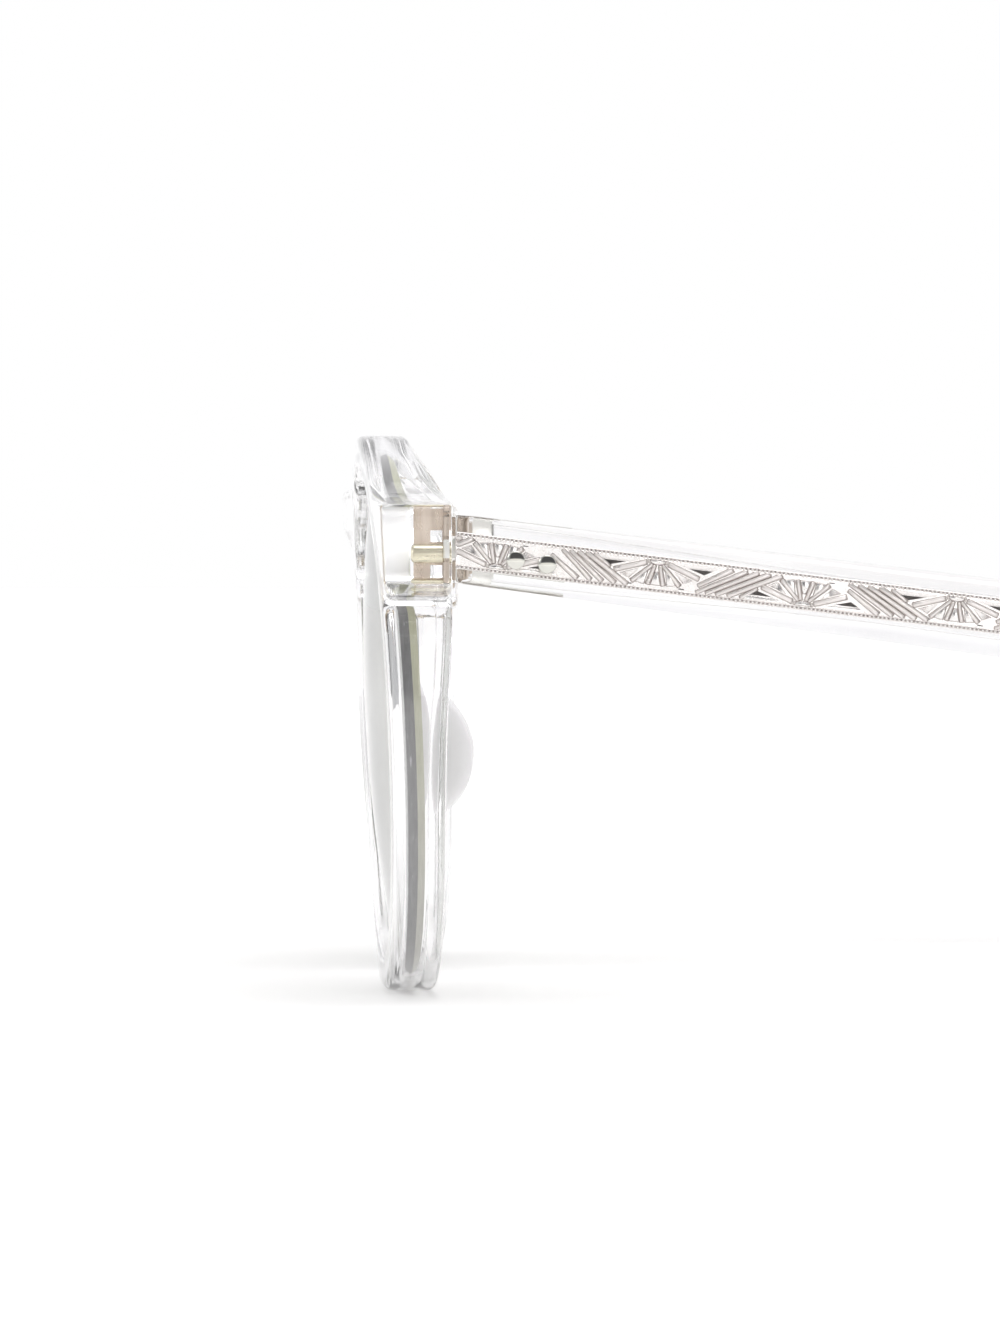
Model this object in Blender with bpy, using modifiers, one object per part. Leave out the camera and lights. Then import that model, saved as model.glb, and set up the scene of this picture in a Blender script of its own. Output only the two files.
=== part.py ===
"""Round clear-acetate sunglasses with wire-core temples, modelled in metres, +Z up.

The wearer's left is +X, the front faces -Y and the temples run back along +Y. The glasses stand on the bottoms of the two rims and on the tips of the two temples, all at Z = 0. The part is symmetrical about the YZ plane.
"""

import math

import bmesh
import bpy
from mathutils import Matrix, Vector
from mathutils.geometry import delaunay_2d_cdt

MM = 0.001

# ---------------------------------------------------------------- driving dimensions, in millimetres
ORIGIN_Y = -70.51  # puts the origin under the middle of the whole part, front to back

LENS_CX, LENS_CZ = 33.4, 24.7  # centre of each lens opening, from the middle and from the rim's foot
OPEN_A, OPEN_B, OPEN_N = 23.4, 22.0, 2.12  # half width, half height and squareness of the opening
RIM_A, RIM_B, RIM_N = 26.8, 24.8, 2.1  # the same for the rim's outside
FRONT_T = 4.6  # sheet thickness of the front
EDGE_R = 0.7  # rounding of the front's edges
BOW_R, BOW_X = 560.0, 60.5  # radius of the front's bow, seen from above
TILT = 0.049  # how much the rims lean back per mm downwards
DATUM_X, DATUM_Z = 62.0, 25.0  # where the rim's front surface lies at y = 0 of the front's own datum
BRIDGE_TOP, BRIDGE_LOW = 44.8, 40.5
BRIDGE_BULGE = 1.0  # how far the bridge stands in front of the rims' planes
END_X = 70.0  # half the width over the end pieces
END_LOW, END_TOP = 36.3, 43.15
END_NECK_X, END_NECK_Z = 60.6, 35.05  # where the underside turns down into the rim
END_ROUND_X, END_ROUND_Y = 66.5, 0.2  # the end piece's front rounds away from this X, by this much at its side
END_REAR = 5.2  # the flat back of the end piece, where the temple butts

GAP = 0.3  # running and bedding clearance between neighbours

GROOVE_DEPTH = 1.3
GROOVE_Y0, GROOVE_Y1 = 1.15, 3.35  # the groove's mouth, behind the front surface
LENS_T = 1.5  # thickness at the lens's edge
LENS_Y = 1.5  # the lens edge's front, behind the rim's front surface
LENS_BULGE = 1.7

AXIS_X, AXIS_Y = 64.55, 5.5  # the hinge axis, vertical
BARREL_R, BORE_R, PIN_R = 1.15, 0.80, 0.50
BARREL_LOW, BARREL_TOP = 36.65, 42.05
PLATE_Y0 = 4.45

TEMPLE_Y = 5.5  # the butt end
TEMPLE_L = 149.0
TEMPLE_Z = 39.38
TEMPLE_SLOPE = 7.3
EAR_START, EAR_END, EAR_ANGLE = 92.0, 120.0, 35.39
CORE_L = 124.0
CORE_T = 1.2
CORE_STOPS = (0.0, 14.0, 36.0, 60.0, 80.0, 92.0, 98.0, 104.0, 110.0, 117.0)

RIVETS = (5.2, 7.9)  # the temple rivets, behind the butt
RIVET_R = 0.75
FRONT_RIVET_X = (58.8, 62.3)
FRONT_RIVET_Z = 38.95
FRONT_RIVET_R = 0.8

OUTLINE_STEP = 1.6  # spacing of points on the outlines
OPEN_POINTS = 72
LENS_POINTS = 64

# ---------------------------------------------------------------- start with an empty scene
for old in list(bpy.data.objects):
    bpy.data.objects.remove(old, do_unlink=True)
for old in list(bpy.data.collections):
    bpy.data.collections.remove(old)

PARTS = bpy.data.collections.new("round_sunglasses")
CUTTERS = bpy.data.collections.new("cutters")
bpy.context.scene.collection.children.link(PARTS)
bpy.context.scene.collection.children.link(CUTTERS)


def material(name, colour, roughness, metallic=0.0, transmission=0.0, ior=1.49):
    m = bpy.data.materials.new(name)
    m.use_nodes = True
    b = m.node_tree.nodes["Principled BSDF"]
    b.inputs["Base Color"].default_value = (*colour, 1.0)
    b.inputs["Roughness"].default_value = roughness
    b.inputs["Metallic"].default_value = metallic
    b.inputs["Transmission Weight"].default_value = transmission
    b.inputs["IOR"].default_value = ior
    m.diffuse_color = (*colour, 1.0)
    return m


CLEAR = material("clear_acetate", (0.93, 0.93, 0.94), 0.06, 0.0, 0.9)
SMOKE = material("smoke_lens", (0.36, 0.37, 0.34), 0.04, 0.0, 0.7)
PAD = material("pad_acetate", (0.86, 0.83, 0.86), 0.15, 0.0, 0.5)
SILVER = material("engraved_silver", (0.82, 0.80, 0.77), 0.24, 1.0)
BRASS = material("brass", (0.80, 0.66, 0.42), 0.25, 1.0)
STEEL = material("hinge_metal", (0.66, 0.60, 0.54), 0.3, 1.0)
POLISH = material("polished_rivet", (0.85, 0.84, 0.82), 0.05, 1.0)


# ---------------------------------------------------------------- the front's shape
def curve_points(p0, t0, p1, t1, n):
    """A cubic Bezier from p0 along t0 to p1 along t1, without its last point."""
    a, b, c, d = (
        Vector(p0),
        Vector(p0) + Vector(t0),
        Vector(p1) - Vector(t1),
        Vector(p1),
    )
    out = []
    for i in range(n):
        t = i / n
        u = 1 - t
        out.append(u**3 * a + 3 * u * u * t * b + 3 * u * t * t * c + t**3 * d)
    return out


def oval(a, b, n, degrees):
    """A point of a squared-off oval around the lens centre, by its polar angle."""
    th = math.radians(degrees)
    c, s = math.cos(th), math.sin(th)
    r = (abs(c / a) ** n + abs(s / b) ** n) ** (-1.0 / n)
    return Vector((LENS_CX + r * c, LENS_CZ + r * s))


def oval_tangent(a, b, n, degrees):
    return (oval(a, b, n, degrees + 0.5) - oval(a, b, n, degrees - 0.5)).normalized()


def rim_arc(start, stop, n):
    return [oval(RIM_A, RIM_B, RIM_N, start + (stop - start) * i / n) for i in range(n)]


def spaced(points, step):
    """The open line through points, resampled evenly."""
    lengths = [0.0]
    for p, q in zip(points, points[1:]):
        lengths.append(lengths[-1] + (q - p).length)
    n = max(2, round(lengths[-1] / step))
    out, j = [], 0
    for i in range(n + 1):
        want = lengths[-1] * i / n
        while j < len(points) - 2 and lengths[j + 1] < want:
            j += 1
        span = lengths[j + 1] - lengths[j]
        out.append(points[j].lerp(points[j + 1], (want - lengths[j]) / span if span else 0.0))
    return out


def half_outline():
    """The outside of the front for x >= 0, from the bridge's underside round the rim and the end piece to the bridge's top."""
    nasal, temporal, top_out, top_in = 157.0, 379.5, 415.0, 474.0
    rim = lambda d: oval(RIM_A, RIM_B, RIM_N, d)
    tan = lambda d: oval_tangent(RIM_A, RIM_B, RIM_N, d)
    points = curve_points((0, BRIDGE_LOW), (4.6, 0), rim(nasal), tan(nasal) * 4.0, 40)
    points += rim_arc(nasal, temporal, 240)
    r = 0.8
    neck, corner = Vector((END_NECK_X, END_NECK_Z)), Vector((END_X - r, END_LOW))
    points += curve_points(
        rim(temporal), tan(temporal) * 0.95, neck, (corner - neck).normalized() * 0.95, 12
    )
    points += [neck.lerp(corner, i / 8) for i in range(8)]
    points += [
        Vector((END_X - r + r * math.sin(a), END_LOW + r - r * math.cos(a)))
        for a in (math.pi / 2 * i / 8 for i in range(8))
    ]
    points += [
        Vector((END_X, END_LOW + r + (END_TOP - END_LOW - 2 * r) * i / 10)) for i in range(10)
    ]
    points += [
        Vector((END_X - r + r * math.cos(a), END_TOP - r + r * math.sin(a)))
        for a in (math.pi / 2 * i / 8 for i in range(8))
    ]
    points += curve_points((END_X - r, END_TOP), (-7.0, 0), rim(top_out), tan(top_out) * 4.6, 40)
    points += rim_arc(top_out, top_in, 90)
    points += curve_points(rim(top_in), tan(top_in) * 7.0, (0, BRIDGE_TOP), (-7.0, 0), 40)
    points.append(Vector((0, BRIDGE_TOP)))
    points = spaced(points, OUTLINE_STEP)
    for p in points:  # the rim's foot is a true flat
        p.y = max(p.y, 0.0)
    return points


def opening():
    return [
        oval(OPEN_A, OPEN_B, OPEN_N, 360.0 * i / OPEN_POINTS) for i in range(OPEN_POINTS)
    ]


def moved(points, distance, closed):
    """The outline moved to its left by distance, each point along its own normal."""
    n, out = len(points), []
    for i, p in enumerate(points):
        if closed:
            before, after = points[i - 1], points[(i + 1) % n]
        else:
            before, after = points[max(i - 1, 0)], points[min(i + 1, n - 1)]
        t = (after - before).normalized()
        normal = Vector((-t.y, t.x))
        if not closed and i in (0, n - 1):
            normal = Vector((0.0, 1.0 if i == 0 else -1.0))
        out.append(p + normal * distance)
    return out


def smooth(t):
    t = min(max(t, 0.0), 1.0)
    return t * t * (3 - 2 * t)


def front_plane(x, z):
    x = min(abs(x), BOW_X)
    return (x * x - DATUM_X * DATUM_X) / (2 * BOW_R) - TILT * (z - DATUM_Z)


def front_surface(x, z):
    bulge = max(0.0, 1 - (x / 11.5) ** 2)
    over = min(max((abs(x) - END_ROUND_X) / (END_X - END_ROUND_X + 0.1), 0.0), 1.0)
    turn = END_ROUND_Y * (1 - math.sqrt(1 - over * over))
    return front_plane(x, z) - BRIDGE_BULGE * bulge * bulge + turn


def rear_surface(x, z):
    base = front_surface(min(abs(x), END_ROUND_X), z) + FRONT_T
    k = smooth((abs(x) - 40.0) / 19.0) * smooth((z - 14.0) / 20.0)
    return base * (1 - k) + END_REAR * k


def through(x, z, depth):
    """Y of a point at this depth below the front surface; depths over half the sheet count from the back."""
    if depth <= FRONT_T / 2:
        return front_surface(x, z) + depth
    return rear_surface(x, z) - (FRONT_T - depth)


def scene_object(name, mesh, mat, collection=None):
    ob = bpy.data.objects.new(name, mesh)
    (collection or PARTS).objects.link(ob)
    if mat:
        mesh.materials.append(mat)
    return ob


def finished(bm, name, mat, collection=None, sharp=35):
    bmesh.ops.recalc_face_normals(bm, faces=bm.faces)
    mesh = bpy.data.meshes.new(name)
    bm.to_mesh(mesh)
    bm.free()
    mesh.shade_smooth()
    mesh.set_sharp_from_angle(angle=math.radians(sharp))
    return scene_object(name, mesh, mat, collection)


def inside(p, loop):
    """True if p lies inside the closed loop."""
    odd = False
    for a, b in zip(loop, loop[1:] + loop[:1]):
        if (a.y > p.y) != (b.y > p.y) and p.x < a.x + (p.y - a.y) * (b.x - a.x) / (b.y - a.y):
            odd = not odd
    return odd


def front_frame():
    """Half the front, open at the middle plane, then mirrored. The sheet's faces are filled between the rounded edges' inner lines."""
    outline, hole = half_outline(), opening()
    bm = bmesh.new()

    def ring(points, depth):
        return [
            bm.verts.new((p.x * MM, (through(p.x, p.y, depth) + ORIGIN_Y) * MM, p.y * MM))
            for p in points
        ]

    def skin(rings, closed):
        for a, b in zip(rings, rings[1:]):
            n = len(a)
            for i in range(n if closed else n - 1):
                j = (i + 1) % n
                bm.faces.new((a[i], a[j], b[j], b[i]))

    e, t = EDGE_R, FRONT_T
    outer_profile = [(e, 0), (0.29 * e, 0.29 * e), (0, e), (0, t - e), (0.29 * e, t - 0.29 * e), (e, t)]
    h, g0, g1, g = 0.45, GROOVE_Y0, GROOVE_Y1, -GROOVE_DEPTH
    inner_profile = [
        (-h, 0),
        (0, h),
        (0, g0),
        (g, g0 + 0.1),
        (g, g1 - 0.1),
        (0, g1),
        (0, t - h),
        (-h, t),
    ]
    outer = [ring(moved(outline, inset, False), depth) for inset, depth in outer_profile]
    # the opening runs counter-clockwise, so its left is the hole and its right is the rim
    inner = [
        ring(moved(hole, inset, True), depth)
        for inset, depth in inner_profile
    ]
    skin(outer, False)
    skin(inner, True)
    for k in (0, -1):
        verts = outer[k] + inner[k]
        n, m = len(outer[k]), len(inner[k])
        flat = [Vector((v.co.x, v.co.z)) for v in verts]
        edges = [(i, (i + 1) % n) for i in range(n)] + [(n + i, n + (i + 1) % m) for i in range(m)]
        coords, _, faces, *_ = delaunay_2d_cdt(flat, edges, [], 4, 1e-7)
        found = {}
        for i, c in enumerate(coords):
            near = min(range(len(flat)), key=lambda j: (flat[j] - c).length_squared)
            found[i] = verts[near]
        for f in faces:
            middle = sum((coords[i] for i in f), Vector((0.0, 0.0))) / 3
            if not inside(middle, [flat[n + i] for i in range(m)]):
                bm.faces.new([found[i] for i in f])
    ob = finished(bm, "front_frame", CLEAR)
    mirror = ob.modifiers.new("other_half", "MIRROR")
    mirror.use_axis[0] = True
    mirror.use_clip = True
    mirror.merge_threshold = 0.00001
    return ob


# ---------------------------------------------------------------- small builders
def box(name, low, high, mat=None, collection=None, slope=0.0, about=(0, 0, 0), side=1):
    """A box between two corners in the part's own millimetres, turned about X by slope degrees around a point."""
    bm = bmesh.new()
    bmesh.ops.create_cube(bm, size=1.0)
    size = [h - l for l, h in zip(low, high)]
    mid = [(h + l) / 2 for l, h in zip(low, high)]
    bmesh.ops.scale(bm, vec=Vector(size) * MM, verts=bm.verts)
    bmesh.ops.translate(bm, vec=Vector(mid) * MM, verts=bm.verts)
    if slope:
        pivot = Vector(about) * MM
        bmesh.ops.rotate(
            bm, cent=pivot, matrix=Matrix.Rotation(math.radians(-slope), 3, "X"), verts=bm.verts
        )
    place(bm, side)
    return finished(bm, name, mat, collection, 30)


def rod(name, base, axis, radius, length, mat=None, collection=None, side=1, sides=20):
    """A cylinder from base along axis."""
    bm = bmesh.new()
    bmesh.ops.create_cone(
        bm,
        cap_ends=True,
        segments=sides,
        radius1=radius * MM,
        radius2=radius * MM,
        depth=length * MM,
    )
    bmesh.ops.translate(bm, vec=(0, 0, length / 2 * MM), verts=bm.verts)
    turn = Vector((0, 0, 1)).rotation_difference(Vector(axis)).to_matrix().to_4x4()
    bmesh.ops.transform(bm, matrix=Matrix.Translation(Vector(base) * MM) @ turn, verts=bm.verts)
    place(bm, side)
    return finished(bm, name, mat, collection, 30)


def turned(name, profile, base, axis, mat, side=1, steps=20):
    """A turned piece. profile is (radius, height) pairs down the outer side, top to bottom; axis points up the piece."""
    mesh = bpy.data.meshes.new(name)
    mesh.from_pydata(
        [(r * MM, 0.0, h * MM) for r, h in profile],
        [(i, i + 1) for i in range(len(profile) - 1)],
        [],
    )
    ob = scene_object(name, mesh, mat)
    screw = ob.modifiers.new("turn", "SCREW")
    screw.axis = "Z"
    screw.angle = math.tau
    screw.steps = screw.render_steps = steps
    screw.use_merge_vertices = True
    screw.merge_threshold = 0.00001
    screw.use_smooth_shade = True
    axis = Vector((axis[0] * side, axis[1], axis[2]))
    turn = Vector((0, 0, 1)).rotation_difference(axis).to_matrix().to_4x4()
    at = Vector((base[0] * side, base[1] + ORIGIN_Y, base[2])) * MM
    ob.matrix_world = Matrix.Translation(at) @ turn
    return ob


def place(bm, side):
    """From the part's own millimetre datum to the row's frame, and over to the other side for the right-hand pieces."""
    bmesh.ops.translate(bm, vec=(0, ORIGIN_Y * MM, 0), verts=bm.verts)
    if side < 0:
        bmesh.ops.scale(bm, vec=(-1, 1, 1), verts=bm.verts)


def cut(target, cutter, how="DIFFERENCE"):
    cutter.hide_render = True
    cutter.display_type = "WIRE"
    b = target.modifiers.new(how.lower() + "_" + cutter.name, "BOOLEAN")
    b.operation = how
    b.solver = "EXACT"
    b.object = cutter


def on_pivot(ob, pivot):
    """Gives the object its origin on the hinge axis, under the pivot empty."""
    if ob.type == "MESH" and not any(m.type == "SCREW" for m in ob.modifiers):
        ob.data.transform(Matrix.Translation(-pivot.location))
        ob.parent = pivot
    else:
        world = ob.matrix_world.copy()
        ob.parent = pivot
        ob.matrix_parent_inverse = Matrix.Translation(-pivot.location)
        ob.matrix_basis = world


# ---------------------------------------------------------------- lens and nose pad
def lens(name, side):
    """A disc with the opening's outline, its edge in the groove and its middle standing forward."""
    reach = GROOVE_DEPTH - GAP
    edge = moved(
        [oval(OPEN_A, OPEN_B, OPEN_N, 360.0 * i / LENS_POINTS) for i in range(LENS_POINTS)],
        -reach,
        True,
    )
    centre = Vector((LENS_CX, LENS_CZ))
    bm = bmesh.new()
    shares = (1.0, 0.8, 0.55, 0.28)
    faces = []
    for depth in (LENS_Y, LENS_Y + LENS_T):
        rows = []
        for share in shares:
            row = []
            for p in edge:
                q = centre.lerp(p, share)
                y = front_plane(q.x, q.y) + depth - LENS_BULGE * (1 - share * share)
                row.append(bm.verts.new(Vector((q.x, y, q.y)) * MM))
            rows.append(row)
        tip = bm.verts.new(
            Vector((centre.x, front_plane(*centre) + depth - LENS_BULGE, centre.y)) * MM
        )
        for a, b in zip(rows, rows[1:]):
            for i in range(LENS_POINTS):
                j = (i + 1) % LENS_POINTS
                bm.faces.new((a[i], a[j], b[j], b[i]))
        for i in range(LENS_POINTS):
            bm.faces.new((rows[-1][i], rows[-1][(i + 1) % LENS_POINTS], tip))
        faces.append(rows[0])
    for i in range(LENS_POINTS):
        j = (i + 1) % LENS_POINTS
        bm.faces.new((faces[0][i], faces[0][j], faces[1][j], faces[1][i]))
    place(bm, side)
    return finished(bm, name, SMOKE)


def nose_pad(name, side):
    """A soft lobe behind the nasal side of the rim, splayed outwards as it goes back, cut flat where it beds on the rim."""
    bm = bmesh.new()
    bmesh.ops.create_uvsphere(bm, u_segments=18, v_segments=12, radius=1.0)
    bmesh.ops.scale(bm, vec=(1.45, 5.1, 6.9), verts=bm.verts)
    bmesh.ops.rotate(bm, cent=(0, 0, 0), matrix=Matrix.Rotation(math.radians(9), 3, "Y"), verts=bm.verts)
    bmesh.ops.rotate(bm, cent=(0, 0, 0), matrix=Matrix.Rotation(math.radians(-24), 3, "Z"), verts=bm.verts)
    bmesh.ops.translate(bm, vec=(8.5, 2.2, 20.6), verts=bm.verts)
    x, z = 8.5, 20.6
    bed = rear_surface(x, z) + GAP
    normal = Vector((-x / BOW_R, 1.0, TILT)).normalized()  # the back of the rim's plane
    cutp = bmesh.ops.bisect_plane(
        bm,
        geom=bm.verts[:] + bm.edges[:] + bm.faces[:],
        dist=1e-6,
        plane_co=(x, bed, z),
        plane_no=normal,
        clear_inner=True,
    )
    rim = [e for e in cutp["geom_cut"] if isinstance(e, bmesh.types.BMEdge)]
    bmesh.ops.contextual_create(bm, geom=rim)
    bmesh.ops.scale(bm, vec=(MM, MM, MM), verts=bm.verts)
    place(bm, side)
    return finished(bm, name, PAD, sharp=50)


# ---------------------------------------------------------------- temple and its wire core
def table(knots, s):
    """A smooth value read from (s, value) knots."""
    if s <= knots[0][0]:
        return knots[0][1]
    if s >= knots[-1][0]:
        return knots[-1][1]
    for i in range(len(knots) - 1):
        (s0, v0), (s1, v1) = knots[i], knots[i + 1]
        if s <= s1:
            before = knots[max(i - 1, 0)]
            after = knots[min(i + 2, len(knots) - 1)]
            m0 = (v1 - before[1]) / (s1 - before[0])
            m1 = (after[1] - v0) / (after[0] - s0)
            h = s1 - s0
            t = (s - s0) / h
            return (
                (2 * t**3 - 3 * t**2 + 1) * v0
                + (t**3 - 2 * t**2 + t) * h * m0
                + (-2 * t**3 + 3 * t**2) * v1
                + (t**3 - t**2) * h * m1
            )
    return knots[-1][1]


OUTSIDE_X = ((0, 70.0), (30, 70.7), (70, 71.0), (100, 70.2), (125, 67.8), (149, 64.2))
THICKNESS = ((0, 4.0), (60, 3.9), (100, 3.6), (149, 3.0))
HALF_HEIGHT = ((0, 2.93), (47, 3.33), (85, 3.65), (118, 3.95), (149, 3.9))
CORE_HALF = ((0, 1.60), (50, 1.56), (85, 1.38), (110, 1.1), (124, 0.8))
CORE_OFFSET = ((0, -0.12), (47, 0.18), (100, 0.1), (124, 0.0))


def slope_at(s):
    return math.radians(
        TEMPLE_SLOPE + (EAR_ANGLE - TEMPLE_SLOPE) * smooth((s - EAR_START) / (EAR_END - EAR_START))
    )


def centre_line(stops):
    """(y, z) of the temple's middle at each arc length, summed in small steps."""
    out, y, z, at, step = [], TEMPLE_Y, TEMPLE_Z, 0.0, 0.1
    for s in stops:
        while at < s - 1e-9:
            d = min(step, s - at)
            a = slope_at(at + d / 2)
            y += d * math.cos(a)
            z -= d * math.sin(a)
            at += d
        out.append((y, z))
    return out


def section(s, y, z, x_mid, half_t, half_h, corner, offset, count):
    """Points of a rounded rectangle across the temple at arc length s."""
    a = 0.0 if s < 0.01 else slope_at(s)
    up = Vector((0.0, math.sin(a), math.cos(a)))
    c = min(corner, half_t * 0.98, half_h * 0.98)
    points = []
    per = count // 4
    for k, (sx, sz) in enumerate(((1, 1), (-1, 1), (-1, -1), (1, -1))):
        for i in range(per):
            t = math.pi / 2 * (k + i / (per - 1))
            dx = sx * (half_t - c) + c * math.cos(t)
            dz = sz * (half_h - c) + c * math.sin(t)
            points.append(Vector((x_mid + dx, y, z)) + up * (dz + offset))
    return points


def upright_butt(points):
    """The butt end lies flat against the end piece, in the plane across Y."""
    return [Vector((p.x, TEMPLE_Y, p.z)) for p in points]


def temple(name, side):
    count = 16
    stops = [0.0, 0.8] + [3.0 + i * 11.125 for i in range(9)] + [92 + i * 4.2 for i in range(1, 12)]
    tip = [TEMPLE_L - 11.0, TEMPLE_L - 8.0, TEMPLE_L - 5.5, TEMPLE_L - 3.4, TEMPLE_L - 1.8, TEMPLE_L - 0.7, TEMPLE_L - 0.15]
    stops = sorted({round(s, 3) for s in stops if s < TEMPLE_L - 12} | {round(s, 3) for s in tip})
    line = centre_line(stops)
    bm = bmesh.new()
    outer = []
    for s, (y, z) in zip(stops, line):
        half_h = table(HALF_HEIGHT, s)
        left = TEMPLE_L - s
        lift = 1.0
        if left < 11.0:  # the round tip
            lift = math.sqrt(max(0.0, 1 - ((11.0 - left) / 11.0) ** 2.4))
        half_t = table(THICKNESS, s) / 2
        half_t *= math.sqrt(max(0.02, 1 - (max(0.0, 4.0 - left) / 4.0) ** 2.2))
        x_mid = table(OUTSIDE_X, s) - table(THICKNESS, s) / 2
        corner = 1.0 + 0.45 * smooth(s / 30.0)
        if s < 0.01:  # a small chamfer round the butt
            half_h, half_t = half_h - 0.25, half_t - 0.25
        points = section(s, y, z, x_mid, half_t, half_h * lift, corner, 0.0, count)
        if s < 0.01:
            points = upright_butt(points)
        outer.append([bm.verts.new(p * MM) for p in points])
    for a, b in zip(outer, outer[1:]):
        for i in range(count):
            j = (i + 1) % count
            bm.faces.new((a[i], a[j], b[j], b[i]))
    bm.faces.new(outer[-1])
    # the slot that the wire core is shot into, open at the butt
    slot_stops = [*CORE_STOPS, CORE_L + GAP]
    slot_line = centre_line(slot_stops)
    slot = []
    for s, (y, z) in zip(slot_stops, slot_line):
        x_mid = table(OUTSIDE_X, s) - table(THICKNESS, s) / 2
        points = section(
            s,
            y,
            z,
            x_mid,
            CORE_T / 2 + GAP,
            table(CORE_HALF, s) + GAP,
            0.35,
            table(CORE_OFFSET, s),
            count,
        )
        if s < 0.01:
            points = upright_butt(points)
        slot.append([bm.verts.new(p * MM) for p in points])
    for a, b in zip(slot, slot[1:]):
        for i in range(count):
            j = (i + 1) % count
            bm.faces.new((a[i], b[i], b[j], a[j]))
    bm.faces.new(list(reversed(slot[-1])))
    for i in range(count):
        j = (i + 1) % count
        bm.faces.new((outer[0][i], slot[0][i], slot[0][j], outer[0][j]))
    place(bm, side)
    return finished(bm, name, CLEAR)


def wire_core(name, side):
    """The engraved metal blade inside the temple, flush with the butt."""
    count = 8
    stops = [*CORE_STOPS, CORE_L]
    line = centre_line(stops)
    bm = bmesh.new()
    rows = []
    for s, (y, z) in zip(stops, line):
        x_mid = table(OUTSIDE_X, s) - table(THICKNESS, s) / 2
        points = section(
            s, y, z, x_mid, CORE_T / 2, table(CORE_HALF, s), 0.15, table(CORE_OFFSET, s), count
        )
        if s < 0.01:
            points = upright_butt(points)
        rows.append([bm.verts.new(p * MM) for p in points])
    for a, b in zip(rows, rows[1:]):
        for i in range(count):
            j = (i + 1) % count
            bm.faces.new((a[i], a[j], b[j], b[i]))
    bm.faces.new(list(reversed(rows[0])))
    bm.faces.new(rows[-1])
    place(bm, side)
    return finished(bm, name, SILVER)


def rivet_places():
    """(y, z) of each temple rivet."""
    return [(y, z - 0.35) for y, z in centre_line(RIVETS)]


# ---------------------------------------------------------------- hinges
def front_hinge(name, side):
    """A leaf let into the back of the end piece, a heel sunk deep in the acetate, and the top and bottom knuckles."""
    third = (BARREL_TOP - BARREL_LOW - 2 * GAP) / 3
    leaf = box(name, (57.2, PLATE_Y0, 36.9), (AXIS_X, 5.2, 41.85), STEEL, None, side=side)
    heel = box(name + "_heel", (60.4, 1.95, 36.9), (61.15, 5.0, 42.2), None, CUTTERS, side=side)
    cut(leaf, heel, "UNION")
    # two small keys in the heel, where the acetate grips it
    for k, (low, high) in enumerate(((39.95, 40.95), (37.3, 37.95))):
        key = box(f"{name}_key{k}", (59.8, 3.3, low), (61.8, 4.25, high), None, CUTTERS, side=side)
        cut(leaf, key)
    # the leaf is notched for the middle knuckle
    notch = box(
        name + "_notch",
        (AXIS_X - BARREL_R - GAP, 3.0, BARREL_LOW + third),
        (66.5, 8.0, BARREL_TOP - third),
        None,
        CUTTERS,
        side=side,
    )
    cut(leaf, notch)
    for k, low in enumerate((BARREL_LOW, BARREL_TOP - third)):
        barrel = rod(
            f"{name}_barrel{k}", (AXIS_X, AXIS_Y, low), (0, 0, 1), BARREL_R, third, None, CUTTERS, side
        )
        cut(leaf, barrel, "UNION")
    bore = rod(name + "_bore", (AXIS_X, AXIS_Y, 35.0), (0, 0, 1), BORE_R, 8.0, None, CUTTERS, side)
    cut(leaf, bore)
    for k, x in enumerate(FRONT_RIVET_X):
        hole = rod(
            f"{name}_hole{k}",
            (x, 3.6, FRONT_RIVET_Z),
            (0, 1, 0),
            FRONT_RIVET_R + GAP,
            3.0,
            None,
            CUTTERS,
            side,
            16,
        )
        cut(leaf, hole)
    return leaf


def temple_hinge(name, side):
    """The leaf riveted to the inside of the temple, with a taller head behind the knuckles and the middle knuckle."""
    third = (BARREL_TOP - BARREL_LOW - 2 * GAP) / 3
    low = BARREL_LOW + third + GAP
    y0 = TEMPLE_Y + 2.6
    z0 = centre_line([2.6])[0][1] - 0.35
    inner = END_X - 4.0 - GAP
    leaf = box(
        name,
        (inner - 0.75, y0, z0 - 1.45),
        (inner, y0 + 7.0, z0 + 1.45),
        STEEL,
        None,
        TEMPLE_SLOPE,
        (0, y0, z0),
        side,
    )
    neck = box(
        name + "_neck",
        (inner - 0.73, AXIS_Y, low + 0.02),
        (inner - 0.02, y0 + 1.0, low + third - 0.02),
        None,
        CUTTERS,
        side=side,
    )
    cut(leaf, neck, "UNION")
    head = box(
        name + "_head",
        (inner - 0.74, 6.95, 36.4),
        (inner - 0.01, 8.6, 41.9),
        None,
        CUTTERS,
        side=side,
    )
    cut(leaf, head, "UNION")
    barrel = rod(name + "_barrel", (AXIS_X, AXIS_Y, low), (0, 0, 1), BARREL_R, third, None, CUTTERS, side)
    cut(leaf, barrel, "UNION")
    bore = rod(name + "_bore", (AXIS_X, AXIS_Y, 35.0), (0, 0, 1), BORE_R, 8.0, None, CUTTERS, side)
    cut(leaf, bore)
    for k, (y, z) in enumerate(rivet_places()):
        hole = rod(
            f"{name}_hole{k}", (inner - 3, y, z), (1, 0, 0), RIVET_R + GAP, 6.0, None, CUTTERS, side, 16
        )
        cut(leaf, hole)
    return leaf


def screw(name, side):
    """The hinge's pin: a plain shank with its end just proud of the top knuckle."""
    top = BARREL_TOP + 0.1
    return turned(
        name,
        [
            (0.0, top),
            (PIN_R - 0.1, top),
            (PIN_R, top - 0.1),
            (PIN_R, BARREL_LOW - 0.1),
            (PIN_R - 0.15, BARREL_LOW - 0.25),
            (0.0, BARREL_LOW - 0.25),
        ],
        (AXIS_X, AXIS_Y, 0.0),
        (0, 0, 1),
        POLISH,
        side,
        20,
    )


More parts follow.
